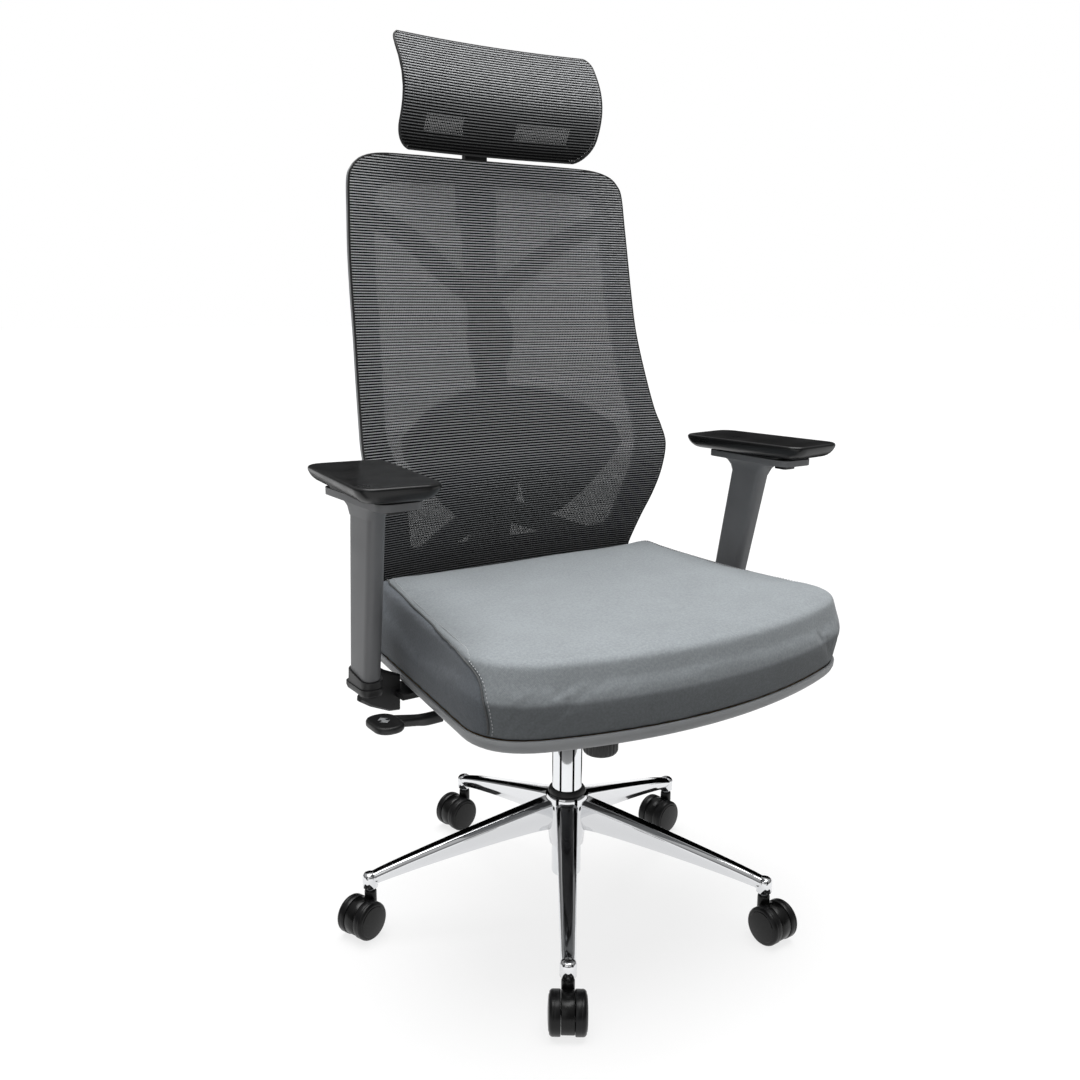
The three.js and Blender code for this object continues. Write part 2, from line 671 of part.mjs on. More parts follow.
function buildArm(side, name) {
  const x = side * armX;
  part(`arm_bracket_${name}`, "blackPlastic", armBracket(side));
  const postShape = roundedRectangle(innerWide, innerDeep, 3);
  const innerPost = lean(slab(postShape, 4.3 - footDrop, postLong - 60), side);
  part(`arm_post_${name}`, "steel", innerPost);
  part(`arm_sleeve_${name}`, "armGrey", armSleeve(side));
  const trigger = slab(roundedRectangle(20.6, 20.6, 4), armPlateZ - 6, armPlateZ + 1.2);
  part(`arm_button_${name}`, "blackPlastic", trigger.translate(x, armPlateY - 49, 0));
  const carrierLow = armPlateZ + armPlateThick + gap;
  const carrier = slab(roundedRectangle(armPlateWide, 120, 12), carrierLow, padBottom - gap);
  part(`pad_carrier_${name}`, "blackPlastic", carrier.translate(x, armPlateY, 0));
  part(`arm_pad_${name}`, "blackPlastic", armPad(side));
}

// ---- Back ----

// The back's edge, from its bottom to its top: [height, half width, y].
const backEdge = [
  [428, 150, 124], [431, 186, 124], [443, 197, 123], [459, 201, 120],
  [495, 210, 109], [531, 221, 98], [566, 230, 92],
  [601, 236, 93], [626, 235, 103], [651, 231, 114], [706, 225, 131], [761, 220, 145], [810, 218, 154],
  [859, 216, 161], [905, 213, 166], [945, 210, 170], [960, 204, 171], [972, 190, 172], [979, 160, 173],
  [981, 100, 174],
];
const backBottom = backEdge[0][0];
const backTop = backEdge[backEdge.length - 1][0];

function edgeAt(z) {
  const found = backEdge.findIndex(([height]) => height > z);
  const next = found < 0 ? backEdge.length - 1 : Math.max(found, 1);
  const [low, high] = [backEdge[next - 1], backEdge[next]];
  const t = THREE.MathUtils.clamp((z - low[0]) / (high[0] - low[0]), 0, 1);
  return [1, 2].map((k) => THREE.MathUtils.lerp(low[k], high[k], t));
}

// The y of the back's front surface at a place on it.
function backY(x, z) {
  const [, y] = edgeAt(z);
  return y + backSag * (1 - Math.min(1, Math.pow(x / 236, 2)));
}

// A sheet between two offsets behind the back's front surface.
function backSheet(front, behind, inset) {
  const columns = 10;
  const rings = backEdge.map(([z, half]) => {
    const [a, b] = [[], []];
    for (let i = 0; i <= columns; i++) {
      const x = (half - inset) * (-1 + (2 * i) / columns);
      a.push([x, backY(x, z) + front, z]);
      b.push([x, backY(x, z) + behind, z]);
    }
    return [...a, ...b.reverse()];
  });
  return loft(rings);
}

// The outline of the back in front view, brought in all round by a band.
function backWindow(band) {
  const narrower = 1 - band / backMiddleHalf;
  const shorter = (windowTop - windowBottom) / (backTop - backBottom);
  const right = backEdge.map(([z, half]) => [half * narrower, windowBottom + (z - backBottom) * shorter]);
  const left = right.map(([x, z]) => [-x, z]).reverse();
  return polygon([...right, ...left]);
}

// A shape drawn in front view, as (x, z), extruded from one y to another.
function frontSlab(shape, low, high) {
  const turn = new THREE.Matrix4().makeBasis(
    new THREE.Vector3(1, 0, 0), new THREE.Vector3(0, 0, 1), new THREE.Vector3(0, -1, 0));
  return slab(shape, -high, -low).applyMatrix4(turn);
}

const frameNear = meshThick + 1;
const frameFar = frameNear + frameThick;

const backFrame = () => cut(backSheet(frameNear, frameFar, 0), frontSlab(backWindow(frameBand), 0, 400));

// The spine behind the mesh, with two upper arms to the frame's shoulders and two lower ones.
const spineLine = [
  [398, 206], [450, 200], [500, 186], [560, 170], [620, 170], [690, 188], [752, 201], [825, 214], [890, 223],
  [964, 229],
];

function spineY(z) {
  const next = Math.max(1, spineLine.findIndex(([height]) => height >= z));
  const [low, high] = [spineLine[next - 1], spineLine[next]];
  return THREE.MathUtils.lerp(low[1], high[1], (z - low[0]) / (high[0] - low[0]));
}

function backSpine() {
  const wideAt = (z) => (z < 600 ? spineWide + 14 : spineWide);
  const column = strap(spineLine.map(([z, y]) => [[0, y, z], wideAt(z), spineThick]));
  const reach = (x, z) => [x, backY(x, z) + frameFar + 4.5, z];
  const pieces = [column];
  for (const side of [-1, 1]) {
    pieces.push(
      strap([[[0, spineY(800) - 1, 800], 30, 13], [[side * 60, spineY(838) - 8, 838], 28, 12],
        [reach(side * 120, 880), 28, 10], [reach(side * 186, 912), 26, 9]]),
      strap([[[0, spineY(520), 520], 34, 14], [[side * 70, spineY(500) - 12, 492], 30, 12],
        [reach(side * 130, 470), 26, 10], [reach(side * 176, 464), 22, 9]]),
    );
  }
  const socketY = spineY(930);
  pieces.push(block([-27, socketY - 13, 900], [27, socketY + 15, 972]));
  const slot = headPostSlot(0.4, 890, 990);
  return cut(join(...pieces), slot, backSheet(-20, frameFar + gap, -8));
}

function headPostSlot(room, low, high) {
  const half = headPostWide / 2 + room;
  const thick = headPostThick / 2 + room;
  return block([-half, headPostY - thick, low], [half, headPostY + thick, high]);
}

// The bracket swings on the back pin outside the case, runs rearwards and turns up to the spine.
function backBracket() {
  const earX = caseWide / 2 + 5;
  const bar = (side) => strap([
    [[side * earX, backPinY - 14, backPinZ - 1], 6, 22], [[side * earX, backPinY + 10, backPinZ - 1], 6, 23],
    [[side * earX, 112, backPinZ], 8, 26], [[side * 40, 158, backPinZ + 2], 16, 22],
    [[0, 176, backPinZ + 6], 20, 22],
  ], [0, 0, 1], 0.2);
  const up = strap([
    [[0, 150, backPinZ + 5], 64, 20], [[0, 196, backPinZ + 12], 64, 18], [[0, 219, 345], 62, 14],
    [[0, 222, 400], 60, 12], [[0, 217, 440], 56, 10], [[0, 211, 470], 50, 8],
  ]);
  const solid = join(bar(-1), bar(1), up);
  const far = earX + 20;
  return cut(solid, crosswise(6 + running, -far, far, backPinY, backPinZ));
}

// Two lobes that meet above a notch, bowed like the mesh they press on.
function lumbarPad() {
  const half = [
    [0, 692], [60, 684], [120, 662], [168, 630], [172, 606], [150, 580], [112, 540], [76, 512], [48, 506],
    [26, 520], [14, 548], [6, 566], [0, 569],
  ];
  const left = half.slice(1, -1).map(([x, z]) => [-x, z]).reverse();
  const outline = polygon([...half, ...left]);
  const band = backSheet(lumbarNear, lumbarNear + lumbarThick, 4);
  return toGeometry(toSolid(frontSlab(outline, 0, 300)).intersect(toSolid(band)));
}

function buildBack() {
  part("back_bracket", "blackPlastic", backBracket());
  part("back_frame", "greyPlastic", backFrame());
  part("back_mesh", "mesh", backSheet(0, meshThick, 0));
  part("lumbar_pad", "blackPlastic", lumbarPad());
  part("back_spine", "blackPlastic", backSpine());
}

// ---- Headrest ----

function headCurve(x, z) {
  const t = (z - headBottom) / (headTop - headBottom);
  return headY - headBulge * Math.sin(Math.PI * t) + headSag * (1 - Math.pow(x / headHalf, 2)) - 4;
}

// The half width of the headrest at a height, with rounder corners below than above.
function headWidth(z) {
  const radius = z < (headBottom + headTop) / 2 ? 30 : 14;
  const inside = Math.min(radius, z - headBottom, headTop - z);
  return headHalf - radius + Math.sqrt(radius * radius - (radius - inside) ** 2);
}

function headSheet(front, behind, inset) {
  const columns = 8;
  const heights = [0, 0.02, 0.06, 0.13, 0.22, 0.36, 0.5, 0.64, 0.78, 0.9, 0.96, 1];
  const rings = heights.map((t) => {
    const z = THREE.MathUtils.lerp(headBottom, headTop, t);
    const half = headWidth(z) - inset;
    const level = THREE.MathUtils.lerp(headBottom + inset, headTop - inset, t);
    const [a, b] = [[], []];
    for (let i = 0; i <= columns; i++) {
      const x = half * (-1 + (2 * i) / columns);
      a.push([x, headCurve(x, level) + front, level]);
      b.push([x, headCurve(x, level) + behind, level]);
    }
    return [...a, ...b.reverse()];
  });
  return loft(rings);
}

function headFrame() {
  const near = meshThick + gap;
  const plate = headSheet(near, near + 7, 3);
  const window1 = block([-windowOuter, 100, headWindowLow], [-windowInner, 260, headWindowHigh]);
  const window2 = block([windowInner, 100, headWindowLow], [windowOuter, 260, headWindowHigh]);
  const ear = (x) => strap([[[x, headCurve(x, headPinZ) + near + 4, headPinZ], 10, 22],
    [[x, headPinY - 8, headPinZ], 10, 20], [[x, headPinY + 8, headPinZ], 10, 14]], [0, 0, 1]);
  const solid = join(cut(plate, window1, window2), ear(-24), ear(24));
  return cut(solid, crosswise(4 + running, -60, 60, headPinY, headPinZ, 16));
}

function buildHeadrest() {
  const shaft = headPostSlot(0, 905, 1020);
  const neck = strap([
    [[0, headPostY, headPinZ - 42], headPostWide, headPostThick],
    [[0, headPostY - 1, headPinZ - 24], headPostWide, 12],
    [[0, headPinY + 2, headPinZ - 3], headPostWide, 15],
  ]);
  const eye = crosswise(10, -headPostWide / 2, headPostWide / 2, headPinY, headPinZ, 16);
  const post = cut(join(shaft, neck, eye), crosswise(4 + running, -60, 60, headPinY, headPinZ, 16));
  part("headrest_post", "blackPlastic", post);
  part("headrest_pin", "steel", crosswise(4, -32, 32, headPinY, headPinZ, 16));
  part("headrest_frame", "blackPlastic", headFrame());
  part("headrest_mesh", "mesh", headSheet(0, meshThick, 0));
}

buildBase();
buildCasters();
buildLift();
buildMechanism();
buildSeat();
buildArm(-1, "right");
buildArm(1, "left");
buildBack();
buildHeadrest();

export default chair;
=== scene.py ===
# Ergonomic office chair: mesh back and headrest, padded seat, adjustable arms, star base on casters.
# Sizes are in millimetres, apart from the studio's, which are in metres.
# The sitter faces -Y and +X is the sitter's left.
import json
import math

import bmesh
import bpy
import numpy as np
from mathutils import Matrix, Vector
from mathutils.bvhtree import BVHTree

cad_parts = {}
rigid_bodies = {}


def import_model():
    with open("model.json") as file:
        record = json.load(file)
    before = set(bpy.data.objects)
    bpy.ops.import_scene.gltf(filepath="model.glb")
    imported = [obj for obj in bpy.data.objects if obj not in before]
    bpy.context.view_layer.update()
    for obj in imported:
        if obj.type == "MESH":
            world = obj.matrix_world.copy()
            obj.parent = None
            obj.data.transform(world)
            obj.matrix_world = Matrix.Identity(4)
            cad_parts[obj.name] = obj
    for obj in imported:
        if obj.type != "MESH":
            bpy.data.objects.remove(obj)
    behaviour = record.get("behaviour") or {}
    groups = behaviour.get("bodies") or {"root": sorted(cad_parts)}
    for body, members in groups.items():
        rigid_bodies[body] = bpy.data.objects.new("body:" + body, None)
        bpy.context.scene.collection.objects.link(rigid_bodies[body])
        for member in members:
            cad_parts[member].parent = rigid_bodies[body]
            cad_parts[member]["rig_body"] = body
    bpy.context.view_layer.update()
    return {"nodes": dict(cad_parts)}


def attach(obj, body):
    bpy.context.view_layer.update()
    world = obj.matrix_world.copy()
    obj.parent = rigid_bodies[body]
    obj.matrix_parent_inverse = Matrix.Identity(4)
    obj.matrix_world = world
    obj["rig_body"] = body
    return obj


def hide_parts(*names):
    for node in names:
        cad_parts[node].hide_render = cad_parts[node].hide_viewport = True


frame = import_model()
scene = bpy.context.scene
scene.view_settings.view_transform = "Standard"
print("frame loaded,", len(frame["nodes"]), "nodes")


# nodes and objects

# Joins sources to a node's inputs. A source is a socket, or a node, which means its first output in use.
def connect(tree, node, links):
    for key, source in links.items():
        if not hasattr(source, "is_output"):
            source = next(output for output in source.outputs if output.enabled)
        tree.links.new(source, node.inputs[key])


def addNode(tree, kind, settings=None, links=None):
    node = tree.nodes.new(kind)
    for key, value in (settings or {}).items():
        if isinstance(key, str) and hasattr(node, key):
            setattr(node, key, value)
        else:
            node.inputs[key].default_value = value
    connect(tree, node, links or {})
    return node


def addObject(name, data):
    obj = bpy.data.objects.new(name, data)
    scene.collection.objects.link(obj)
    return obj


def linear(hexText):
    channels = [int(hexText[i:i + 2], 16) / 255 for i in (0, 2, 4)]
    return tuple(c / 12.92 if c <= 0.04045 else ((c + 0.055) / 1.055) ** 2.4 for c in channels) + (1.0,)


# The same colour, darker or paler by a share of its sRGB values.
def toned(hexText, share):
    return linear("".join(f"{min(255, round(int(hexText[i:i + 2], 16) * share)):02x}" for i in (0, 2, 4)))


def newMaterial(name, colour, sockets):
    material = bpy.data.materials.new(name)
    material.use_nodes = True
    tree = material.node_tree
    shader = tree.nodes["Principled BSDF"]
    shader.inputs["Base Color"].default_value = linear(colour)
    for key, value in sockets.items():
        shader.inputs[key].default_value = value
    return material, tree, shader


# camera, light and floor, in metres

cameraSettings = {"place": (-0.7949, -1.1021, 0.8016), "forward": (0.5490, 0.8078, -0.2147), "roll": 0.3,
                  "lens": 36.28, "sensor": 36}
lightSettings = {"sunStrength": 3.3, "sunAngle": 50, "sunFrom": (0.02, 0.04, 1.0), "fillSize": 1.6,
                 "fillPower": 5, "fillPlace": (-2.2, -1.2, 1.3), "fillAim": (0, 0, 0.5), "skyStrength": 0.5,
                 "skyTones": ((0.0, 0.62), (0.16, 0.3), (0.4, 0.42), (0.75, 1.0))}
floorSettings = {"half": 30, "colour": "7c7c7c", "glow": 0.79, "roughness": (0.62, 0.78)}
flagSettings = {"radius": 1.1, "high": 1.0, "clear": 0.002,
                "spans": ((0, 40), (68, 104), (178, 194), (274, 290)), "floorInner": 0.5, "stepAngle": 6,
                "leastSteps": 6}


def makeCamera():
    s = cameraSettings
    forward = Vector(s["forward"]).normalized()
    right = forward.cross(Vector((0, 0, 1))).normalized()
    up = right.cross(forward)
    roll = math.radians(s["roll"])
    sideways = right * math.cos(roll) + up * math.sin(roll)
    upward = up * math.cos(roll) - right * math.sin(roll)
    camera = addObject("camera", bpy.data.cameras.new("camera"))
    camera.data.lens = s["lens"]
    camera.data.sensor_width = s["sensor"]
    turn = Matrix((sideways, upward, -forward)).transposed().to_4x4()
    camera.matrix_world = Matrix.Translation(s["place"]) @ turn
    scene.camera = camera


# A light that shines from a direction, back along it.
def addLight(name, kind, direction):
    light = addObject(name, bpy.data.lights.new(name, kind))
    light.rotation_mode = "QUATERNION"
    light.rotation_quaternion = Vector(direction).to_track_quat("Z", "Y")
    return light


# The camera sees plain white behind the chair. The light comes from a sky that is palest overhead and darkest
# a little above the horizon.
def makeSky():
    s = lightSettings
    world = bpy.data.worlds.new("studio")
    world.use_nodes = True
    scene.world = world
    tree = world.node_tree
    tree.nodes.clear()
    coords = addNode(tree, "ShaderNodeTexCoord")
    height = addNode(tree, "ShaderNodeSeparateXYZ", {}, {0: coords.outputs["Generated"]})
    ramp = addNode(tree, "ShaderNodeValToRGB", {}, {0: height.outputs["Z"]})
    elements = ramp.color_ramp.elements
    elements[0].position, elements[1].position = s["skyTones"][0][0], s["skyTones"][-1][0]
    for place, tone in s["skyTones"][1:-1]:
        elements.new(place)
    for element, (place, tone) in zip(elements, s["skyTones"]):
        element.color = (tone, tone, tone, 1)
    soft = addNode(tree, "ShaderNodeBackground", {"Strength": s["skyStrength"]}, {"Color": ramp})
    seen = addNode(tree, "ShaderNodeBackground", {"Color": (1, 1, 1, 1), "Strength": 1.0})
    path = addNode(tree, "ShaderNodeLightPath")
    both = addNode(tree, "ShaderNodeMixShader", {}, {0: path.outputs["Is Camera Ray"], 1: soft, 2: seen})
    addNode(tree, "ShaderNodeOutputWorld", {}, {"Surface": both})


def makeLight():
    s = lightSettings
    sun = addLight("overheadSoftLight", "SUN", s["sunFrom"])
    sun.data.energy = s["sunStrength"]
    sun.data.angle = math.radians(s["sunAngle"])
    fill = addLight("sideSoftbox", "AREA", Vector(s["fillPlace"]) - Vector(s["fillAim"]))
    fill.data.size = s["fillSize"]
    fill.data.energy = s["fillPower"]
    fill.location = s["fillPlace"]
    makeSky()


# Studio paint that glows, so that the floor stays pale and the chair's shadow on it soft.
def makeFloor():
    s = floorSettings
    material, tree, shader = newMaterial("paintedStudioFloor", s["colour"], {
        "Specular IOR Level": 0.2, "Emission Color": (1, 1, 1, 1), "Emission Strength": s["glow"]})
    coords = addNode(tree, "ShaderNodeTexCoord")
    cloud = addNode(tree, "ShaderNodeTexNoise", {"Scale": 1.5, "Detail": 3.0},
                    {"Vector": coords.outputs["Object"]})
    low, high = s["roughness"]
    rough = addNode(tree, "ShaderNodeMapRange", {"To Min": low, "To Max": high}, {"Value": cloud})
    connect(tree, shader, {"Roughness": rough})
    half = s["half"]
    mesh = bpy.data.meshes.new("studioFloor")
    mesh.from_pydata([(-half, -half, 0), (half, -half, 0), (half, half, 0), (-half, half, 0)], [],
                     [(0, 1, 2, 3)])
    floor = addObject("studioFloor", mesh)
    mesh.materials.append(material)
    floor.visible_diffuse = False


# Black boards stand round the set and lie on the floor, so that the polished metal mirrors something dark.
def makeFlags():
    s = flagSettings
    points, faces = [], []
    rings = [(span, s["radius"], s["high"]) for span in s["spans"]]
    rings += [(span, s["floorInner"], s["clear"]) for span in s["spans"]]
    for (start, end), inner, high in rings:
        steps = max(s["leastSteps"], (end - start) // s["stepAngle"])
        first = len(points)
        for k in range(steps + 1):
            a = math.radians(start + (end - start) * k / steps)
            points.append((inner * math.cos(a), inner * math.sin(a), s["clear"]))
            points.append((s["radius"] * math.cos(a), s["radius"] * math.sin(a), high))
        faces += [tuple(first + 2 * k + corner for corner in (0, 2, 3, 1)) for k in range(steps)]
    mesh = bpy.data.meshes.new("studioFlags")
    mesh.from_pydata(points, [], faces)
    mesh.materials.append(newMaterial("blackFlagCloth", "050505",
                                      {"Roughness": 1.0, "Specular IOR Level": 0.0})[0])
    flags = addObject("studioFlags", mesh)
    flags.visible_camera = flags.visible_diffuse = flags.visible_shadow = False


makeCamera()
makeLight()
makeFloor()
makeFlags()
print("camera, light and floor made")


# materials

# The scale of a texture whose pattern repeats at a size in millimetres.
def scaleOf(size):
    return 1000 / size


# Moulded plastic: a fine spark-eroded grain in the skin, and a slow change of gloss where hands polished it.
def mouldedPlastic(name, colour, roughness, grain, depth, sockets=None):
    material, tree, shader = newMaterial(name, colour, {"IOR": 1.5, **(sockets or {})})
    coords = addNode(tree, "ShaderNodeTexCoord").outputs["Object"]
    skin = addNode(tree, "ShaderNodeTexNoise", {"Scale": scaleOf(grain), "Detail": 2.0}, {"Vector": coords})
    cloud = addNode(tree, "ShaderNodeTexNoise", {"Scale": scaleOf(38), "Detail": 4.0}, {"Vector": coords})
    tone = addNode(tree, "ShaderNodeMix", {"data_type": "RGBA", 6: toned(colour, 0.93), 7: toned(colour, 1.05)},
                   {0: cloud})
    gloss = addNode(tree, "ShaderNodeMapRange", {"From Min": 0.3, "From Max": 0.7, "To Min": roughness - 0.06,
                    "To Max": roughness + 0.06}, {"Value": cloud})
    bump = addNode(tree, "ShaderNodeBump", {"Strength": 0.5, "Distance": depth / 1000}, {"Height": skin})
    connect(tree, shader, {"Base Color": tone, "Roughness": gloss, "Normal": bump})
    return material


# Polished metal: near mirror, with faint buffing waviness and a little haze.
def polishedMetal(name, colour, roughness, wave, depth):
    material, tree, shader = newMaterial(name, colour, {"Metallic": 1.0})
    coords = addNode(tree, "ShaderNodeTexCoord").outputs["Object"]
    haze = addNode(tree, "ShaderNodeTexNoise", {"Scale": scaleOf(22), "Detail": 5.0}, {"Vector": coords})
    ripple = addNode(tree, "ShaderNodeTexNoise", {"Scale": scaleOf(wave), "Detail": 1.0}, {"Vector": coords})
    gloss = addNode(tree, "ShaderNodeMapRange", {"From Min": 0.3, "From Max": 0.7, "To Min": roughness * 0.6,
                    "To Max": roughness * 1.5}, {"Value": haze})
    bump = addNode(tree, "ShaderNodeBump", {"Strength": 0.35, "Distance": depth / 1000}, {"Height": ripple})
    connect(tree, shader, {"Roughness": gloss, "Normal": bump})
    return material


# Rolled or turned steel: parallel marks 0.9 mm apart and 60 mm long, which stretch the highlights. Real marks
# are finer, and wouldn't show.
def brushedSteel(name, colour, roughness, along):
    material, tree, shader = newMaterial(name, colour, {"Metallic": 1.0})
    coords = addNode(tree, "ShaderNodeTexCoord").outputs["Object"]
    scale = [scaleOf(60 if axis == along else 0.9) for axis in range(3)]
    stretch = addNode(tree, "ShaderNodeMapping", {"Scale": scale}, {"Vector": coords})
    marks = addNode(tree, "ShaderNodeTexNoise", {"Scale": 1.0, "Detail": 2.0}, {"Vector": stretch})
    gloss = addNode(tree, "ShaderNodeMapRange", {"To Min": roughness - 0.1, "To Max": roughness + 0.1},
                    {"Value": marks})
    bump = addNode(tree, "ShaderNodeBump", {"Strength": 0.3, "Distance": 0.00008}, {"Height": marks})
    connect(tree, shader, {"Roughness": gloss, "Normal": bump})
    return material


# Woven polyester cloth: plain weave of melange yarn. Real yarns are 0.6 mm apart, drawn at 1.7 mm so that
# they show. Low down the cloth may carry painted shade, darker where it turns under: low holds the heights
# between which it pales, and the tone of the painted shade.
def wovenPolyester(name, colour, pitch=1.7, low=None):
    material, tree, shader = newMaterial(name, colour, {"Roughness": 0.92, "Specular IOR Level": 0.2,
                                                        "Sheen Weight": 0.12, "Sheen Roughness": 0.5})
    coords = addNode(tree, "ShaderNodeTexCoord")
    place, facing = coords.outputs["Object"], coords.outputs["Normal"]
    turns = addNode(tree, "ShaderNodeVectorMath", {"operation": "SCALE", "Scale": 2 * math.pi * scaleOf(pitch)},
                    {0: place})
    waves = addNode(tree, "ShaderNodeVectorMath", {"operation": "SINE"}, {0: turns})
    wave = addNode(tree, "ShaderNodeSeparateXYZ", {}, {0: waves}).outputs
    crossings = [addNode(tree, "ShaderNodeMath", {"operation": "MULTIPLY"}, {0: wave[a], 1: wave[b]})
                 for a, b in ((1, 2), (0, 2), (0, 1))]
    weaves = addNode(tree, "ShaderNodeCombineXYZ", {}, dict(enumerate(crossings)))
    shares = addNode(tree, "ShaderNodeVectorMath", {"operation": "MULTIPLY"}, {0: facing, 1: facing})
    seen = addNode(tree, "ShaderNodeVectorMath", {"operation": "DOT_PRODUCT"}, {0: weaves, 1: shares})
    weave = addNode(tree, "ShaderNodeMath", {"operation": "MULTIPLY_ADD", 1: 0.5, 2: 0.5}, {0: seen})
    yarn = addNode(tree, "ShaderNodeTexNoise", {"Scale": scaleOf(2.6), "Detail": 3.0, "Roughness": 0.7},
                   {"Vector": place})
    cloud = addNode(tree, "ShaderNodeTexNoise", {"Scale": scaleOf(60), "Detail": 2.0}, {"Vector": place})
    woven = addNode(tree, "ShaderNodeMath", {"operation": "MULTIPLY", 1: 0.25}, {0: weave})
    melange = addNode(tree, "ShaderNodeMath", {"operation": "MULTIPLY_ADD", 1: 0.75}, {0: yarn, 2: woven})
    tone = addNode(tree, "ShaderNodeMapRange", {"From Min": 0.36, "From Max": 0.66}, {"Value": melange})
    cloth = addNode(tree, "ShaderNodeMix", {"data_type": "RGBA", 6: toned(colour, 0.93),
                                            7: toned(colour, 1.06)},
                    {0: tone})
    painted = addNode(tree, "ShaderNodeMix", {"data_type": "RGBA", "blend_type": "MULTIPLY", 0: 0.16},
                      {6: cloth, 7: cloud})
    # Painted shade: the cloth darkens below these heights, as the front of the cushion turns under away from
    # the light.
    if low:
        start, end, dark = low
        height = addNode(tree, "ShaderNodeSeparateXYZ", {}, {0: place})
        paintedShadeBelow = addNode(tree, "ShaderNodeMapRange", {
            "interpolation_type": "SMOOTHSTEP", "From Min": start / 1000, "From Max": end / 1000,
            "To Min": 1.0, "To Max": 0.0}, {"Value": height.outputs["Z"]})
        painted = addNode(tree, "ShaderNodeMix", {"data_type": "RGBA", "blend_type": "MULTIPLY",
                          7: (dark, dark, dark, 1.0)}, {0: paintedShadeBelow, 6: painted})
    height = addNode(tree, "ShaderNodeMath", {"operation": "MULTIPLY_ADD", 1: 0.6}, {0: yarn, 2: weave})
    bump = addNode(tree, "ShaderNodeBump", {"Strength": 0.55, "Distance": 0.0003}, {"Height": height})
    connect(tree, shader, {"Base Color": painted, "Normal": bump})
    return material


# Knitted polyester net: thick black and pale yarn in level ribs, drawn coarser than real yarn so that it
# shows. The pale loops are 2.6 mm apart on each rib. They carry painted shade, dimmer toward the piece's
# lower edge, where it faces down away from the overhead light.
def knittedRib(name, darkest, palest, least):
    material, tree, shader = newMaterial(name, "3a3b3c", {"Roughness": 0.62, "Specular IOR Level": 0.3,
                                                          "Sheen Weight": 0.2})
    along = addNode(tree, "ShaderNodeAttribute", {"attribute_name": "along"})
    place = addNode(tree, "ShaderNodeTexCoord").outputs["Object"]
    turns = addNode(tree, "ShaderNodeMath", {"operation": "MULTIPLY", 1: 2 * math.pi / 2.6},
                    {0: along.outputs["Fac"]})
    loops = addNode(tree, "ShaderNodeMath", {"operation": "SINE"}, {0: turns})
    uneven = addNode(tree, "ShaderNodeTexNoise", {"Scale": scaleOf(6), "Detail": 3.0}, {"Vector": place})
    lift = addNode(tree, "ShaderNodeMath", {"operation": "MULTIPLY_ADD", 1: 0.9}, {0: uneven, 2: loops})
    loop = addNode(tree, "ShaderNodeMapRange", {"From Min": -0.9, "From Max": -0.1}, {"Value": lift})
    height = addNode(tree, "ShaderNodeSeparateXYZ", {}, {0: place})
    # Painted shade: the pale loops dim from full at the palest height down to least at the darkest height.
    pale = addNode(tree, "ShaderNodeMapRange", {"From Min": darkest / 1000, "From Max": palest / 1000,
                   "To Min": least}, {"Value": height.outputs["Z"]})
    loopInPaintedShade = addNode(tree, "ShaderNodeMath", {"operation": "MULTIPLY"}, {0: loop, 1: pale})
    tone = addNode(tree, "ShaderNodeMix", {"data_type": "RGBA", 6: linear("0d0d0e"), 7: linear("f6f8fa")},
                   {0: loopInPaintedShade})
    bump = addNode(tree, "ShaderNodeBump", {"Strength": 0.6, "Distance": 0.0003}, {"Height": loops})
    connect(tree, shader, {"Base Color": tone, "Normal": bump})
    return material


# The ground of the net: black filament with an open hole in every cell of 2.6 by 1.6 mm, a quarter of it wide
# and high, which lets a little of what is behind show.
def netGround(name):
    material, tree, shader = newMaterial(name, "0d0d0e", {"Roughness": 0.8, "Specular IOR Level": 0.08})
    place = addNode(tree, "ShaderNodeTexCoord").outputs["Object"]
    cells = addNode(tree, "ShaderNodeVectorMath", {"operation": "MULTIPLY", 1: (scaleOf(2.6), 0, scaleOf(1.6))},
                    {0: place})
    inCell = addNode(tree, "ShaderNodeVectorMath", {"operation": "FRACTION"}, {0: cells})
    centred = addNode(tree, "ShaderNodeVectorMath", {"operation": "SUBTRACT", 1: (0.5, 0.5, 0.5)}, {0: inCell})
    out = addNode(tree, "ShaderNodeVectorMath", {"operation": "ABSOLUTE"}, {0: centred})
    side = addNode(tree, "ShaderNodeSeparateXYZ", {}, {0: out}).outputs
    most = addNode(tree, "ShaderNodeMath", {"operation": "MAXIMUM"}, {0: side["X"], 1: side["Z"]})
    solid = addNode(tree, "ShaderNodeMath", {"operation": "GREATER_THAN", 1: 0.1216}, {0: most})
    grain = addNode(tree, "ShaderNodeTexNoise", {"Scale": scaleOf(1.2)}, {"Vector": place})
    tone = addNode(tree, "ShaderNodeMix", {"data_type": "RGBA", 6: linear("020202"), 7: linear("0b0b0c")},
                   {0: grain})
    bump = addNode(tree, "ShaderNodeBump", {"Strength": 0.5, "Distance": 0.0002}, {"Height": grain})
    connect(tree, shader, {"Base Color": tone, "Alpha": solid, "Normal": bump})
    return material


# Birch plywood under the cushion, raw: grain 90 mm long and 5 mm wide, and veneers 1.3 mm thick on the edge.
def birchPlywood(name):
    material, tree, shader = newMaterial(name, "c9a877", {"Roughness": 0.7})
    coords = addNode(tree, "ShaderNodeTexCoord").outputs["Object"]
    stretch = addNode(tree, "ShaderNodeMapping", {"Scale": (scaleOf(5), scaleOf(90), scaleOf(1.3))},
                      {"Vector": coords})
    grain = addNode(tree, "ShaderNodeTexNoise", {"Scale": 1.0, "Detail": 4.0}, {"Vector": stretch})
    tone = addNode(tree, "ShaderNodeMix", {"data_type": "RGBA", 6: linear("a9834f"), 7: linear("dcc196")},
                   {0: grain})
    connect(tree, shader, {"Base Color": tone})
    return material


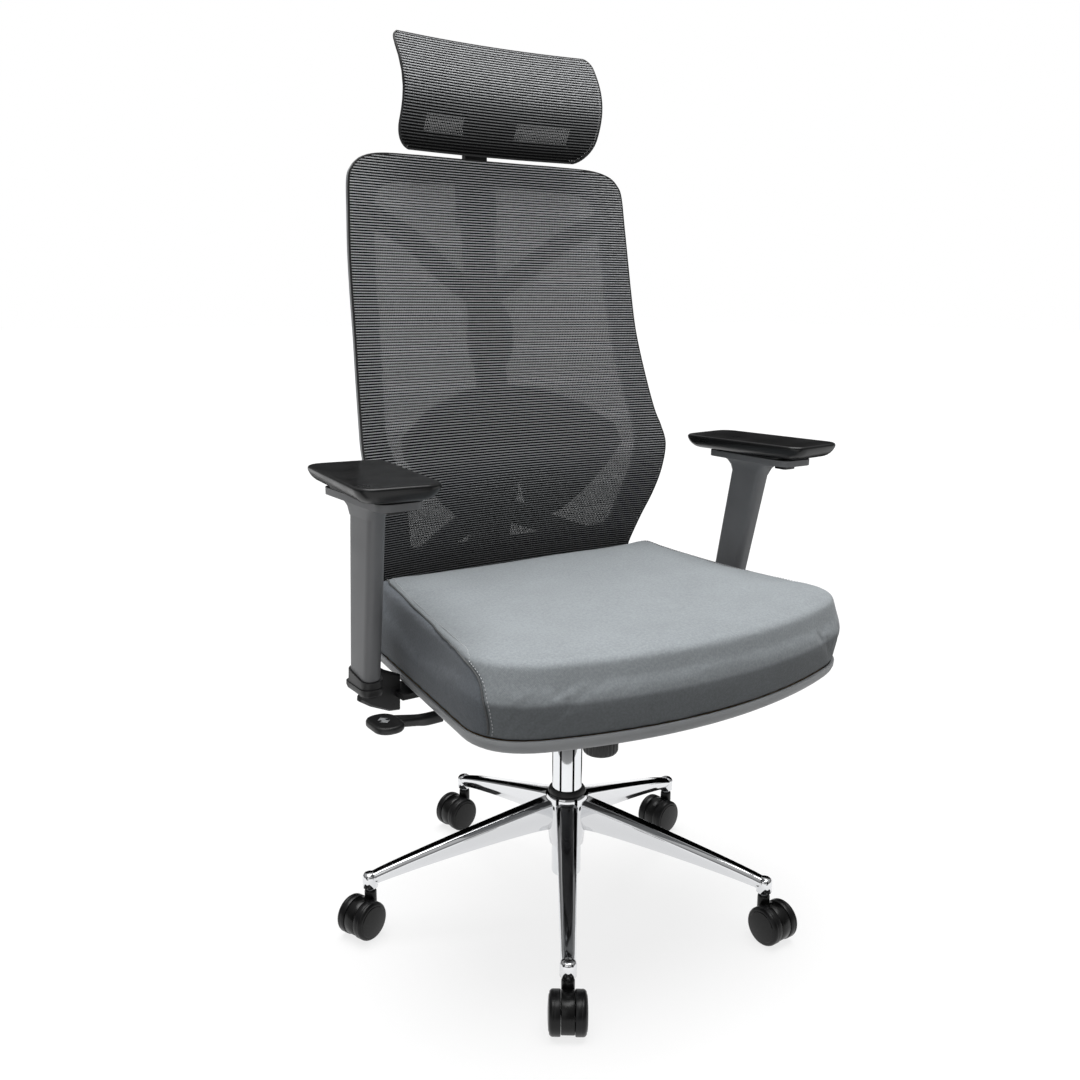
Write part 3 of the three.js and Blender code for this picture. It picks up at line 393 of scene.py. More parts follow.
finish = {
    "castAluminium": polishedMetal("mirrorPolishedAluminium", "e3e4e6", 0.07, 30, 0.25),
    "chrome": polishedMetal("chromedSteelTube", "e6e8ea", 0.05, 60, 0.12),
    "pin": brushedSteel("turnedSteelPin", "9b9da0", 0.32, 0),
    "rod": brushedSteel("groundPistonRod", "b6b8ba", 0.25, 2),
    "spring": brushedSteel("oiledSpringSteel", "4a4744", 0.4, 0),
    "powder": mouldedPlastic("powderCoatedSteel", "1d1d1f", 0.48, 1.4, 0.12),
    "zinc": brushedSteel("zincPlatedSheetSteel", "8d9094", 0.38, 1),
    "nylon": mouldedPlastic("mouldedCasterNylon", "0a0a0a", 0.28, 1.1, 0.05, {"Specular IOR Level": 0.28}),
    "tread": mouldedPlastic("softPolyurethaneTread", "0c0c0d", 0.34, 0.9, 0.05, {"Specular IOR Level": 0.28}),
    "wheelCap": mouldedPlastic("glossyWheelCapNylon", "070707", 0.16, 2.0, 0.02, {"Specular IOR Level": 0.3}),
    "blackAbs": mouldedPlastic("blackTexturedAbs", "121213", 0.45, 0.9, 0.06),
    "glassNylon": mouldedPlastic("blackGlassFilledNylon", "141415", 0.5, 1.2, 0.08),
    "shell": mouldedPlastic("greyPolypropyleneShell", "9c9ea0", 0.5, 1.0, 0.06),
    "armGrey": mouldedPlastic("greySatinNylonArm", "7f8082", 0.5, 0.9, 0.05),
    "padSkin": mouldedPlastic("softTouchPolyurethanePad", "101011", 0.32, 0.8, 0.04,
                              {"Specular IOR Level": 0.3, "Coat Weight": 0.12, "Coat Roughness": 0.15}),
    # The seat cloth carries painted shade below 402 to 409 mm, where its front turns under.
    "seatCloth": wovenPolyester("wovenPolyesterSeatClothPaintedShadeLow", "9ca1a5", low=(402, 409, 0.6)),
    # The side cloth is the seat cloth in a darker tone: painted shade on the seat's sides and rear face.
    "sideClothPaintedShade": wovenPolyester("wovenPolyesterSideClothPaintedShade", "70757b"),
    "thread": mouldedPlastic("bondedNylonThread", "c3c5c7", 0.6, 0.8, 0.05),
    "piping": wovenPolyester("wovenPipingCloth", "666869", 1.3),
    # Both nets carry painted shade: the back's ribs dim toward its bottom, the headrest's nearly to black at
    # its lower edge.
    "rib": knittedRib("knittedPolyesterRibPaintedShade", 450, 1000, 0.2),
    "headRib": knittedRib("knittedHeadrestRibPaintedShade", 994, 1058, 0.02),
    "ground": netGround("knittedNetGround"),
    "plywood": birchPlywood("rawBirchPlywood"),
    "mark": mouldedPlastic("paleTampoPrint", "9c9ea0", 0.5, 1.0, 0.02),
}
print("materials made,", len(finish))


# building blocks

def shadeSmooth(mesh, sharpAngle=35):
    form = bmesh.new()
    form.from_mesh(mesh)
    for face in form.faces:
        face.smooth = True
    for edge in form.edges:
        edge.smooth = not (len(edge.link_faces) == 2 and edge.calc_face_angle(0) > math.radians(sharpAngle))
    form.to_mesh(mesh)
    form.free()


def makePiece(name, points, faces, material, sharpAngle=35, closed=True):
    mesh = bpy.data.meshes.new(name)
    mesh.from_pydata([(x / 1000, y / 1000, z / 1000) for x, y, z in points], [], faces)
    form = bmesh.new()
    form.from_mesh(mesh)
    bmesh.ops.remove_doubles(form, verts=form.verts, dist=1e-6)
    if closed:
        bmesh.ops.recalc_face_normals(form, faces=form.faces)
    form.to_mesh(mesh)
    form.free()
    shadeSmooth(mesh, sharpAngle)
    mesh.materials.append(material)
    return addObject(name, mesh)


def loft(rings, caps=True):
    count = len(rings[0])
    points = [p for ring in rings for p in ring]
    faces = [(j * count + i, j * count + (i + 1) % count, (j + 1) * count + (i + 1) % count,
              (j + 1) * count + i)
             for j in range(len(rings) - 1) for i in range(count)]
    if caps:
        faces += [tuple(reversed(range(count))), tuple(range(len(points) - count, len(points)))]
    return points, faces


onAxis = 0.01    # a profile's radius where it ends on its axis


def between(ends, share):
    return ends[0] + (ends[1] - ends[0]) * share


# Turns a profile of (radius, height) about Z.
def revolve(profile, sides=48):
    turns = [2 * math.pi * i / sides for i in range(sides)]
    rings = [[(r * math.cos(a), r * math.sin(a), z) for a in turns] for r, z in profile]
    return loft(rings, caps=profile[0] != profile[-1])


def together(*shapes):
    points, faces = [], []
    for shapePoints, shapeFaces in shapes:
        faces += [tuple(i + len(points) for i in face) for face in shapeFaces]
        points += list(shapePoints)
    return points, faces


def moved(shape, matrix):
    return [tuple(matrix @ Vector(p)) for p in shape[0]], shape[1]


def place(x=0, y=0, z=0, turn=0):
    return Matrix.Translation((x, y, z)) @ Matrix.Rotation(math.radians(turn), 4, "Z")


def filleted(corners, radius, steps=3):
    ring = []
    for i, corner in enumerate(corners):
        here = Vector(corner)
        before, after = Vector(corners[i - 1]) - here, Vector(corners[(i + 1) % len(corners)]) - here
        reach = min(radius, before.length * 0.45, after.length * 0.45)
        start, end = here + before.normalized() * reach, here + after.normalized() * reach
        for k in range(steps + 1):
            t = k / steps
            ring.append(tuple(start * (1 - t) ** 2 + here * 2 * t * (1 - t) + end * t * t))
    return ring


def roundedBox(wide, deep, radius, steps=6):
    w, d = wide / 2, deep / 2
    ring = []
    for cx, cy, start in ((w - radius, d - radius, 0), (radius - w, d - radius, 90),
                          (radius - w, radius - d, 180), (w - radius, radius - d, 270)):
        for k in range(steps + 1):
            angle = math.radians(start + 90 * k / steps)
            ring.append((cx + radius * math.cos(angle), cy + radius * math.sin(angle)))
    return ring


def smoothLine(stops, steps=8):
    rows = [np.array(s, float) for s in stops]
    rows = [2 * rows[0] - rows[1]] + rows + [2 * rows[-1] - rows[-2]]
    line = []
    for i in range(1, len(rows) - 2):
        a, b, c, d = rows[i - 1:i + 3]
        for k in range(steps):
            t = k / steps
            bend, twist = 2 * a - 5 * b + 4 * c - d, 3 * b - a - 3 * c + d
            line.append(0.5 * (2 * b + (c - a) * t + bend * t * t + twist * t ** 3))
    line.append(rows[-2])
    return line


# A bar of rounded section through stops of (x, y, z, width, thickness).
def strap(stops, along=(0, 1, 0), radiusShare=0.3, steps=6):
    line = smoothLine(stops, steps)
    rings = []
    for i, row in enumerate(line):
        here = Vector(row[:3])
        before, after = (Vector(line[min(max(k, 0), len(line) - 1)][:3]) for k in (i - 1, i + 1))
        ahead = (after - before).normalized()
        across = ahead.cross(Vector(along)).normalized()
        up = across.cross(ahead)
        wide, thick = row[3:]
        section = roundedBox(wide, thick, min(wide, thick) * radiusShare, 4)
        rings.append([tuple(here + across * a + up * b) for a, b in section])
    return loft(rings)


# The CAD shape with its triangles merged, its flats made whole and its edges broken, as a moulding's are.
def finishedCopy(node, name, material, edgeRadius=0.7, sharpAngle=38):
    mesh = frame["nodes"][node].data.copy()
    mesh.materials.clear()
    form = bmesh.new()
    form.from_mesh(mesh)
    bmesh.ops.remove_doubles(form, verts=form.verts, dist=2e-6)
    bmesh.ops.dissolve_limit(form, angle_limit=math.radians(0.6), verts=form.verts, edges=form.edges)
    form.to_mesh(mesh)
    form.free()
    mesh.name = name
    shadeSmooth(mesh, sharpAngle)
    mesh.materials.append(material)
    obj = addObject(name, mesh)
    if edgeRadius:
        bevel = obj.modifiers.new("brokenEdges", "BEVEL")
        bevel.width = edgeRadius / 1000
        bevel.segments = 2
        bevel.limit_method = "ANGLE"
        bevel.angle_limit = math.radians(sharpAngle)
        bevel.harden_normals = True
    finishPiece(obj)
    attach(obj, frame["nodes"][node]["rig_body"])
    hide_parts(node)
    return obj


def finishPiece(obj):
    evaluated = obj.evaluated_get(bpy.context.evaluated_depsgraph_get())
    mesh = bpy.data.meshes.new_from_object(evaluated)
    obj.modifiers.clear()
    obj.data = mesh
    return obj


def groupTree(name, inputs):
    tree = bpy.data.node_groups.new(name, "GeometryNodeTree")
    tree.interface.new_socket("Geometry", in_out="INPUT", socket_type="NodeSocketGeometry")
    for label, kind, value in inputs:
        socket = tree.interface.new_socket(label, in_out="INPUT", socket_type=kind)
        if value is not None:
            socket.default_value = value
    tree.interface.new_socket("Geometry", in_out="OUTPUT", socket_type="NodeSocketGeometry")
    return tree, addNode(tree, "NodeGroupInput")


def applyTree(obj, tree, values):
    modifier = obj.modifiers.new(tree.name, "NODES")
    modifier.node_group = tree
    for item in tree.interface.items_tree:
        if item.in_out == "INPUT" and item.name in values:
            modifier[item.identifier] = values[item.name]
    return finishPiece(obj)


# Round yarn or cord along every line of a wire mesh.
def makeThreadTree():
    tree, given = groupTree("threadsAlongLines", [("Radius", "NodeSocketFloat", 0.0008),
                                                  ("Sides", "NodeSocketInt", 6),
                                                  ("Material", "NodeSocketMaterial", None)])
    line = addNode(tree, "GeometryNodeMeshToCurve", {}, {0: given.outputs["Geometry"]})
    ring = addNode(tree, "GeometryNodeCurvePrimitiveCircle", {},
                   {"Resolution": given.outputs["Sides"], "Radius": given.outputs["Radius"]})
    tube = addNode(tree, "GeometryNodeCurveToMesh", {"Fill Caps": True}, {0: line, 1: ring})
    smooth = addNode(tree, "GeometryNodeSetShadeSmooth", {}, {0: tube})
    real = addNode(tree, "GeometryNodeRealizeInstances", {}, {0: smooth})
    painted = addNode(tree, "GeometryNodeSetMaterial", {}, {0: real, "Material": given.outputs["Material"]})
    addNode(tree, "NodeGroupOutput", {}, {0: painted})
    return tree


# One small shape on every point, turned by the point's own "turn".
def makeCopiesTree():
    tree, given = groupTree("copiesOnPoints", [("Shape", "NodeSocketObject", None),
                                               ("Size", "NodeSocketFloat", 1.0),
                                               ("Material", "NodeSocketMaterial", None)])
    shape = addNode(tree, "GeometryNodeObjectInfo", {}, {0: given.outputs["Shape"]})
    turn = addNode(tree, "GeometryNodeInputNamedAttribute", {"data_type": "FLOAT_VECTOR", "Name": "turn"})
    rotation = addNode(tree, "FunctionNodeEulerToRotation", {}, {0: turn})
    copies = addNode(tree, "GeometryNodeInstanceOnPoints", {}, {
        "Points": given.outputs["Geometry"], "Instance": shape.outputs["Geometry"], "Rotation": rotation,
        "Scale": given.outputs["Size"]})
    real = addNode(tree, "GeometryNodeRealizeInstances", {}, {0: copies})
    painted = addNode(tree, "GeometryNodeSetMaterial", {}, {0: real, "Material": given.outputs["Material"]})
    addNode(tree, "NodeGroupOutput", {}, {0: painted})
    return tree


threadTree = makeThreadTree()
copiesTree = makeCopiesTree()


# Lines of points in millimetres become round yarn. The distance along each line is kept for the material.
def makeThreads(name, lines, radius, sides, material):
    points, edges, along = [], [], []
    for line in lines:
        run = 0.0
        for i, point in enumerate(line):
            if i:
                run += (Vector(point) - Vector(line[i - 1])).length
                edges.append((len(points) - 1, len(points)))
            points.append(Vector(point) / 1000)
            along.append(run)
    mesh = bpy.data.meshes.new(name)
    mesh.from_pydata(points, edges, [])
    mesh.attributes.new("along", "FLOAT", "POINT").data.foreach_set("value", along)
    values = {"Radius": radius / 1000, "Sides": sides, "Material": material}
    return applyTree(addObject(name, mesh), threadTree, values)


# Copies of a small shape, given as (points, faces) in millimetres, at matrices.
def makeCopies(name, shape, matrices, material, sharpAngle=35):
    source = makePiece(name + "Shape", shape[0], shape[1], material, sharpAngle)
    mesh = bpy.data.meshes.new(name)
    mesh.from_pydata([m.to_translation() / 1000 for m in matrices], [], [])
    turns = [v for m in matrices for v in m.to_euler()]
    mesh.attributes.new("turn", "FLOAT_VECTOR", "POINT").data.foreach_set("vector", turns)
    obj = applyTree(addObject(name, mesh), copiesTree, {"Shape": source, "Size": 1.0, "Material": material})
    bpy.data.objects.remove(source)
    return obj


# The place of a screw at a point, with its head along the normal.
def facing(point, normal):
    return Matrix.Translation(point) @ Vector(normal).to_track_quat("Z", "Y").to_matrix().to_4x4()


# A screw's round head with a socket in it.
def screwHead(radius, hexRadius, height):
    return revolve([(onAxis, 0), (radius, 0), (radius, height - 0.6), (radius - 0.6, height),
                    (hexRadius + 0.4, height), (hexRadius, height - 0.3), (hexRadius * 0.98, height - 1.6),
                    (onAxis, height - 1.8)], 24)


# star base

baseSettings = {"legs": 5, "firstLeg": -35, "stemCircle": 267, "legStart": 14, "legStations": 18,
                "legEdge": 2.2, "legHalf": (15, 9.2), "legFacet": (9, 5.6), "legDeep": (46, 17),
                "hubRadius": 29, "hubBore": 20.4, "hubBottom": 84, "hubTop": 158, "bossRadius": 9.8,
                "bossBore": 5.9, "bossBottom": 60, "bossTop": 80}


# A leg lies along -Y from the hub to its caster. Outward it gets narrower, shallower and lower.
def legShape():
    s = baseSettings
    rings = []
    for k in range(s["legStations"] + 1):
        r = between((s["legStart"], s["stemCircle"]), k / s["legStations"])
        t = max(0.0, (r - s["hubRadius"]) / (s["stemCircle"] - s["hubRadius"]))
        top = s["bossTop"] - 1 + (s["hubTop"] - 5 - s["bossTop"]) * (1 - t) ** 0.92
        half, facet, deep = between(s["legHalf"], t), between(s["legFacet"], t), between(s["legDeep"], t ** 0.8)
        right = [(facet, -0.4), (half, -6), (half * 0.86, -deep * 0.6), (4, -deep)]
        corners = right + [(-a, b) for a, b in reversed(right)]
        rings.append([(a, -r, top + b) for a, b in filleted(corners, s["legEdge"])])
    last = rings[-1]
    middle = sum(z for x, y, z in last) / len(last)
    for reach, share in ((3.4, 0.93), (6.2, 0.76), (8.2, 0.5), (9.1, 0.22)):    # the rounded end
        rise, spread = 2.5 * (1 - share), 0.5 + 0.5 * share
        rings.append([(x * share, -s["stemCircle"] - reach, middle + (z - middle) * spread + rise) for x, y,
                      z in last])
    return loft(rings)


def makeBase():
    s = baseSettings
    r, bore, low, top = s["bossRadius"], s["bossBore"], s["bossBottom"], s["bossTop"]
    boss = revolve([(bore, low + 14), (bore, low), (r - 0.8, low), (r, low + 0.8), (r, top - 5),
                    (r - 0.9, top - 2.4), (r - 3, top - 0.6), (r - 6, top + 0.3), (onAxis, top + 0.5)], 40)
    r, bore, low, top = s["hubRadius"], s["hubBore"], s["hubBottom"], s["hubTop"]
    hub = revolve([(bore, low), (r - 7, low), (r - 6, low + 1), (r - 0.3, top - 22), (r, top - 18),
                   (r, top - 4), (r - 1.2, top - 1.2), (r - 4, top), (bore, top), (bore, low)], 64)
    arm = together(legShape(), moved(boss, place(y=-s["stemCircle"])))
    turns = [place(turn=s["firstLeg"] + 360 * i / s["legs"]) for i in range(s["legs"])]
    legs = makeCopies("starBaseLegs", arm, turns, finish["castAluminium"], 50)
    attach(legs, "base")
    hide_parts("star_base")
    ring = makePiece("starBaseHub", *hub, finish["castAluminium"], 40)
    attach(ring, "base")


makeBase()
print("star base made")


# casters

casterSettings = {"turns": (-35, 2, -80, -80, -70), "trail": 17, "radius": 25, "fork": 15.6, "gap": 0.3,
                  "hoodArc": (216, 28), "hoodSteps": 36, "axleRadius": 3, "axleReach": 9.7, "neckBore": 5.9,
                  "neckTop": 57, "stemRadius": 5.5, "stemBottom": 39.5, "stemTop": 74.9}
# profiles of (radius, distance out from the wheel's inner face)
treadProfile = [(3.4, 0.2), (9, 0.2), (9.6, 1.2), (20.5, 1.2), (21, 0.2), (23.6, 0.0), (24.6, 0.4),
                (25, 1.2), (25, 6.6), (24.85, 7.1), (25, 7.6), (25, 9.2), (24.6, 10.6), (23.6, 11.9),
                (22.6, 12.7), (22.1, 12.9), (3.4, 12.9), (3.4, 0.2)]
capProfile = [(onAxis, 12.6), (21.9, 12.6), (21.6, 12.2), (21.0, 12.0), (20.4, 12.3), (20.0, 13.2),
              (19.4, 13.7), (15, 14.3), (9, 14.75), (3, 14.98), (onAxis, 15.0)]


# The hood stands between the wheels, with the stem's neck and the axle in one shape.
def casterHoodShape():
    s = casterSettings
    reach, half, y, z = s["radius"] - 0.6, s["fork"] / 2, -s["trail"], s["radius"]
    arc = [math.radians(between(s["hoodArc"], k / s["hoodSteps"])) for k in range(s["hoodSteps"] + 1)]
    outline = [(reach * math.cos(a), reach * math.sin(a)) for a in arc] + [(7.5, -6.0), (5, -7.5), (-5, -7.5)]
    edge = [(half, 0.9), (half - 0.25, 0.35), (half - 0.9, 0.0)]
    rings = []
    for x, inset in [(-x, inset) for x, inset in edge] + edge[::-1]:
        share = 1 - inset / reach
        rings.append([(x, y + a * share, z + b * share) for a, b in outline])
    bore, top = s["neckBore"], s["neckTop"]
    neck = revolve([(bore, top), (bore, top - 17), (half, top - 26), (half, top - 3), (half - 0.5, top - 0.8),
                    (half - 1.4, top), (bore, top)], 36)
    r, end = s["axleRadius"], half + s["axleReach"]
    axle = revolve([(onAxis, -end), (r - 0.3, -end), (r, 0.3 - end), (r, end - 0.3), (r - 0.3, end),
                    (onAxis, end)], 20)
    return together(loft(rings), neck, moved(axle, Matrix.Translation((0, y, z)) @ turnOut))


turnOut = Matrix.Rotation(math.radians(90), 4, "Y")


def makeCasters():
    s = casterSettings
    hood = casterHoodShape()
    tread = moved(revolve(treadProfile, 56), turnOut)
    cap = moved(revolve(capProfile, 56), turnOut)
    r, low, top = s["stemRadius"], s["stemBottom"], s["stemTop"]
    stem = revolve([(onAxis, low), (r - 0.2, low), (r, low + 0.5), (r, top - 2.4), (r - 0.7, top - 0.5),
                    (onAxis, top)], 24)
    for n, turn in enumerate(s["turns"], 1):
        leg = math.radians(baseSettings["firstLeg"] + 360 / baseSettings["legs"] * (n - 1))
        x, y = baseSettings["stemCircle"] * math.sin(leg), -baseSettings["stemCircle"] * math.cos(leg)
        here = place(x, y, turn=turn)
        piece = makePiece(f"casterHood{n}", *moved(hood, here), finish["nylon"], 40)
        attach(piece, f"caster_{n}")
        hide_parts(f"caster_hood_{n}")
        pin = makePiece(f"casterStem{n}", *moved(stem, here), finish["pin"], 40)
        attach(pin, f"caster_{n}")
        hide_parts(f"caster_stem_{n}")
        for letter, side in (("a", 1), ("b", -1)):
            out = side * (s["fork"] / 2 + s["gap"])
            local = here @ place(out, -s["trail"], s["radius"], turn=0 if side > 0 else 180)
            wheel = makePiece(f"casterWheel{n}{letter}", *moved(tread, local), finish["tread"], 30)
            disc = makePiece(f"casterCap{n}{letter}", *moved(cap, local), finish["wheelCap"], 30)
            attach(wheel, f"wheel_{n}{letter}")
            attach(disc, f"wheel_{n}{letter}")
            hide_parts(f"caster_wheel_{n}{letter}")


makeCasters()
print("casters made")


# gas lift

liftSettings = {"radius": 20, "tubeHole": 9, "tubeBottom": 40, "tubeTop": 262, "bushBore": 14.35,
                "bushBottom": 222, "bushTop": 268, "collarBore": 20.35, "collarRadius": 25,
                "collarBottom": 158.4, "collarTop": 165}


def makeLift():
    s = liftSettings
    r, hole, low, top = s["radius"], s["tubeHole"], s["tubeBottom"], s["tubeTop"]
    tube = revolve([(hole, low), (r - 2.6, low), (r - 0.8, low + 1), (r, low + 3), (r, top - 0.6),
                    (r - 0.5, top), (r - 3, top), (r - 3, low + 4), (hole, low + 4), (hole, low)], 64)
    bore, low, top = s["bushBore"], s["bushBottom"], s["bushTop"]
    bush = revolve([(bore, low), (r - 3.3, low), (r - 3.3, top - 5.7), (r - 0.4, top - 5.7), (r, top - 5.2),
                    (r, top - 1.4), (r - 0.8, top), (r - 5, top), (bore, top - 0.6), (bore, low)], 64)
    r, bore, low, top = s["collarRadius"], s["collarBore"], s["collarBottom"], s["collarTop"]
    collar = revolve([(bore, low), (r - 0.3, low), (r, low + 0.4), (r - 0.6, top - 2.5), (r - 1.8, top - 0.4),
                      (r - 3.5, top), (bore, top), (bore, low)], 64)
    for name, shape, node, look, slotName in (
            ("liftTube", tube, "lift_tube", "chrome", "chrome"),
            ("liftGuideBush", bush, "guide_bush", "blackAbs", "black_plastic"),
            ("hubCollar", collar, "hub_collar", "blackAbs", "black_plastic")):
        piece = makePiece(name, *shape, finish[look], 40)
        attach(piece, "base")
        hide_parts(node)
    for node, name, look, slotName in (
            ("thrust_bearing", "liftThrustBearing", "pin", "steel"), ("piston_rod", "liftPistonRod", "rod",
                    "steel"),
            ("gas_cylinder", "liftGasCylinder", "chrome", "chrome")):
        piece = finishedCopy(node, name, finish[look], 0.4)


makeLift()
print("gas lift made")


# mechanism under the seat

mechanismSettings = {"knobPlace": (0, -72, 239), "knobRadius": 23, "knobFlutes": 24, "facetsPerFlute": 6,
                     "knobProfile": ((-23, 0, 0), (-5, 0, 0), (-3, 1, 0), (-1, 3, 0.8), (0, 6, 1.3),
                                     (0, 20, 1.3), (-1.2, 23, 0.8), (-4, 24, 0), (-9, 24, 0), (-9.2, 51, 0),
                                     (-17, 51, 0), (-17, 95, 0), (-23, 95, 0)),
                     "paddle": (-287, -44, 323), "paddleWide": 36, "paddleLong": 50, "paddleCorner": 16,
                     "neck": ((-208, -30, 320, 15, 12.5), (-230, -30, 320, 16, 12), (-250, -35, 325, 20, 10),
                              (-274, -40, 331, 26, 8.6)),
                     "plateFace": 342.7, "plateBoltX": (-98, 98), "plateBoltY": (-112, 78)}


# The knob's profile holds (radius past the knob's own, height, depth of the flutes).
def makeKnob():
    s = mechanismSettings
    x, y, low = s["knobPlace"]
    count = s["knobFlutes"] * s["facetsPerFlute"]
    rings = []
    for past, high, depth in s["knobProfile"]:
        rings.append([])
        for i in range(count):
            angle = 2 * math.pi * i / count
            flute = depth * (0.5 - 0.5 * math.cos(angle * s["knobFlutes"])) ** 2
            r = max(onAxis, s["knobRadius"] + past) - flute
            rings[-1].append((x + r * math.cos(angle), y + r * math.sin(angle), low + high))
    knob = makePiece("tensionKnob", *loft(rings), finish["blackAbs"], 50)
    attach(knob, "tension_knob")
    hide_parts("tension_knob")


def makeMechanism():
    makeKnob()
    for node, name, look, slotName, edge in (
            ("mechanism_case", "mechanismCase", "powder", "steel", 1.2),
            ("front_pin", "tiltFrontPin", "pin", "steel", 0.5),
            ("back_pin", "tiltBackPin", "pin", "steel", 0.5),
            ("tilt_spring", "tiltSpring", "spring", "steel", 0),
            ("lever_bush", "leverBush", "blackAbs", "black_plastic", 0.5),
            ("lever_rod", "leverRod", "pin", "steel", 0.4),
            ("seat_plate", "seatPlate", "powder", "steel", 0.8)):
        finishedCopy(node, name, finish[look], edge)
    s = mechanismSettings
    x, y, low = s["paddle"]
    wide, long = s["paddleWide"], s["paddleLong"]
    blade = roundedBox(wide, long, s["paddleCorner"], 8)
    rings = []
    levels = ((4, 3.5), (4.8, 1.2), (6.6, 0), (10.4, 0), (12.2, 0.9), (13, 2.6), (12.5, 6), (12.2, 10))
    for z, inset in levels:
        across, lengthways = 1 - 2 * inset / wide, 1 - 2 * inset / long
        rings.append([(x + a * across, y + b * lengthways, low + z) for a, b in blade])
    neck = strap(s["neck"], (0, 0, 1))
    paddle = makePiece("heightLeverPaddle", *together(loft(rings), neck), finish["blackAbs"], 45)
    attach(paddle, "height_lever")
    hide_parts("lever_paddle")
    arrow = [(0, 9), (6.5, 2.5), (2.6, 2.5), (2.6, -2.5), (6.5, -2.5),
             (0, -9), (-6.5, -2.5), (-2.6, -2.5), (-2.6, 2.5), (-6.5, 2.5)]
    faces = [[(x + a, y + 3 + b, low + z) for a, b in arrow] for z in (12.0, 12.55)]
    mark = makePiece("heightLeverMark", *loft(faces), finish["mark"], 30)
    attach(mark, "height_lever")
    bolts = [facing((px, py, s["plateFace"]), (0, 0, -1)) for px in s["plateBoltX"] for py in s["plateBoltY"]]
    heads = makeCopies("seatPlateBolts", screwHead(6.5, 3, 5), bolts, finish["zinc"])
    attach(heads, "seat")


makeMechanism()
print("mechanism made")


# seat

seatSettings = {"wide": 541, "rearWide": 446, "front": -290, "bow": 62, "rear": 116, "corner": 58,
                "rearCorner": 16, "rimTop": 366, "shellTop": 367, "sideEase": 0.8, "rise": 11,
                "riseFront": -70, "rimToTop": 83, "voxel": 4, "pressure": 4, "frames": 20, "mostMove": 2.2,
                "heldBelow": 369.5, "seamDepth": 1.5, "seamSpread": 3.2, "ripple": 0.35, "stitchInset": 5.5,
                "stitchPitch": 4.2, "stitchLong": 2.7, "pipingRadius": 1.25}


def seatRing(inset, z):
    s = seatSettings
    corner, rear = Vector((s["wide"] / 2, s["front"] + s["bow"])), Vector((s["rearWide"] / 2, s["rear"]))
    reach = corner.x - s["corner"]
    edge = [Vector((x, s["front"] + s["bow"] * (x / corner.x) ** 2)) for x in np.linspace(-reach, reach, 29)]
    side = (rear - corner).normalized()
    start, end = edge[-1], corner + side * s["corner"]
    right = [start * (1 - t) ** 2 + corner * 2 * t * (1 - t) + end * t * t for t in np.linspace(0.1, 1, 10)]
    small = s["rearCorner"]
    low = rear - side * small
    right += [end.lerp(low, t) for t in np.linspace(0, 1, 22)[1:]]
    last = Vector((rear.x - small, rear.y))
    right += [low * (1 - t) ** 2 + rear * 2 * t * (1 - t) + last * t * t for t in np.linspace(0.25, 1, 4)]
    back = [Vector((x, rear.y)) for x in np.linspace(rear.x - small, small - rear.x, 26)[1:-1]]
    ring = edge + right + back + [Vector((-p.x, p.y)) for p in reversed(right)]
    middle = (s["front"] + s["rear"]) / 2
    sx, sy = 1 - inset / (s["wide"] / 2), 1 - inset / ((s["rear"] - s["front"]) / 2)
    return [(p.x * sx, middle + (p.y - middle) * sy, z) for p in ring]


def makeShell():
    outside = [(46, 347), (24, 347.2), (15, 348), (9, 349.8), (5, 352.4), (2, 356), (0.4, 360), (0, 364.6),
               (0.7, 365.8), (2, 366)]
    inside = [(3.4, 365.8), (4, 364.8), (4.2, 359.5), (6, 357), (9.3, 355.9), (22, 352.4), (46, 351)]
    shell = makePiece("seatShell", *loft([seatRing(inset, z) for inset, z in outside + inside]),
                      finish["shell"], 40)
    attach(shell, "seat")
    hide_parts("seat_shell")
    board = finishedCopy("seat_board", "seatBoard", finish["plywood"], 0.5)


cushionProfile = [(9.6, 362.8), (9.6, 366.4), (2.4, 366.9), (1.0, 370), (-0.8, 378), (-3.0, 388),
                  (-4.8, 397), (-6.0, 404), (-6.2, 408.5), (-5.2, 413), (-3.2, 421), (-1.0, 430),
                  (1.0, 438), (2.4, 443), (3.6, 445.6), (5.6, 447.2), (9, 448.2), (15, 449), (26, 450.2),
                  (45, 451.6), (70, 452.9), (100, 453.8), (135, 454.3), (165, 454.4)]
seamPlaces = [(206, 100, 440), (213, 60, 440.5), (222, 10, 441), (232, -50, 441), (243, -110, 441),
              (252, -160, 440), (258, -190, 436), (261, -207, 426), (263, -216, 410), (263, -220, 393),
              (260, -219, 378), (257, -215, 369.5)]


# How far the cushion rises toward its rear.
def rearRise(y, z):
    s = seatSettings
    share = min(1.0, max(0.0, (y - s["riseFront"]) / (s["rear"] - s["riseFront"])))
    return s["rise"] * share ** 1.4 * max(0.0, z - s["rimTop"]) / s["rimToTop"]


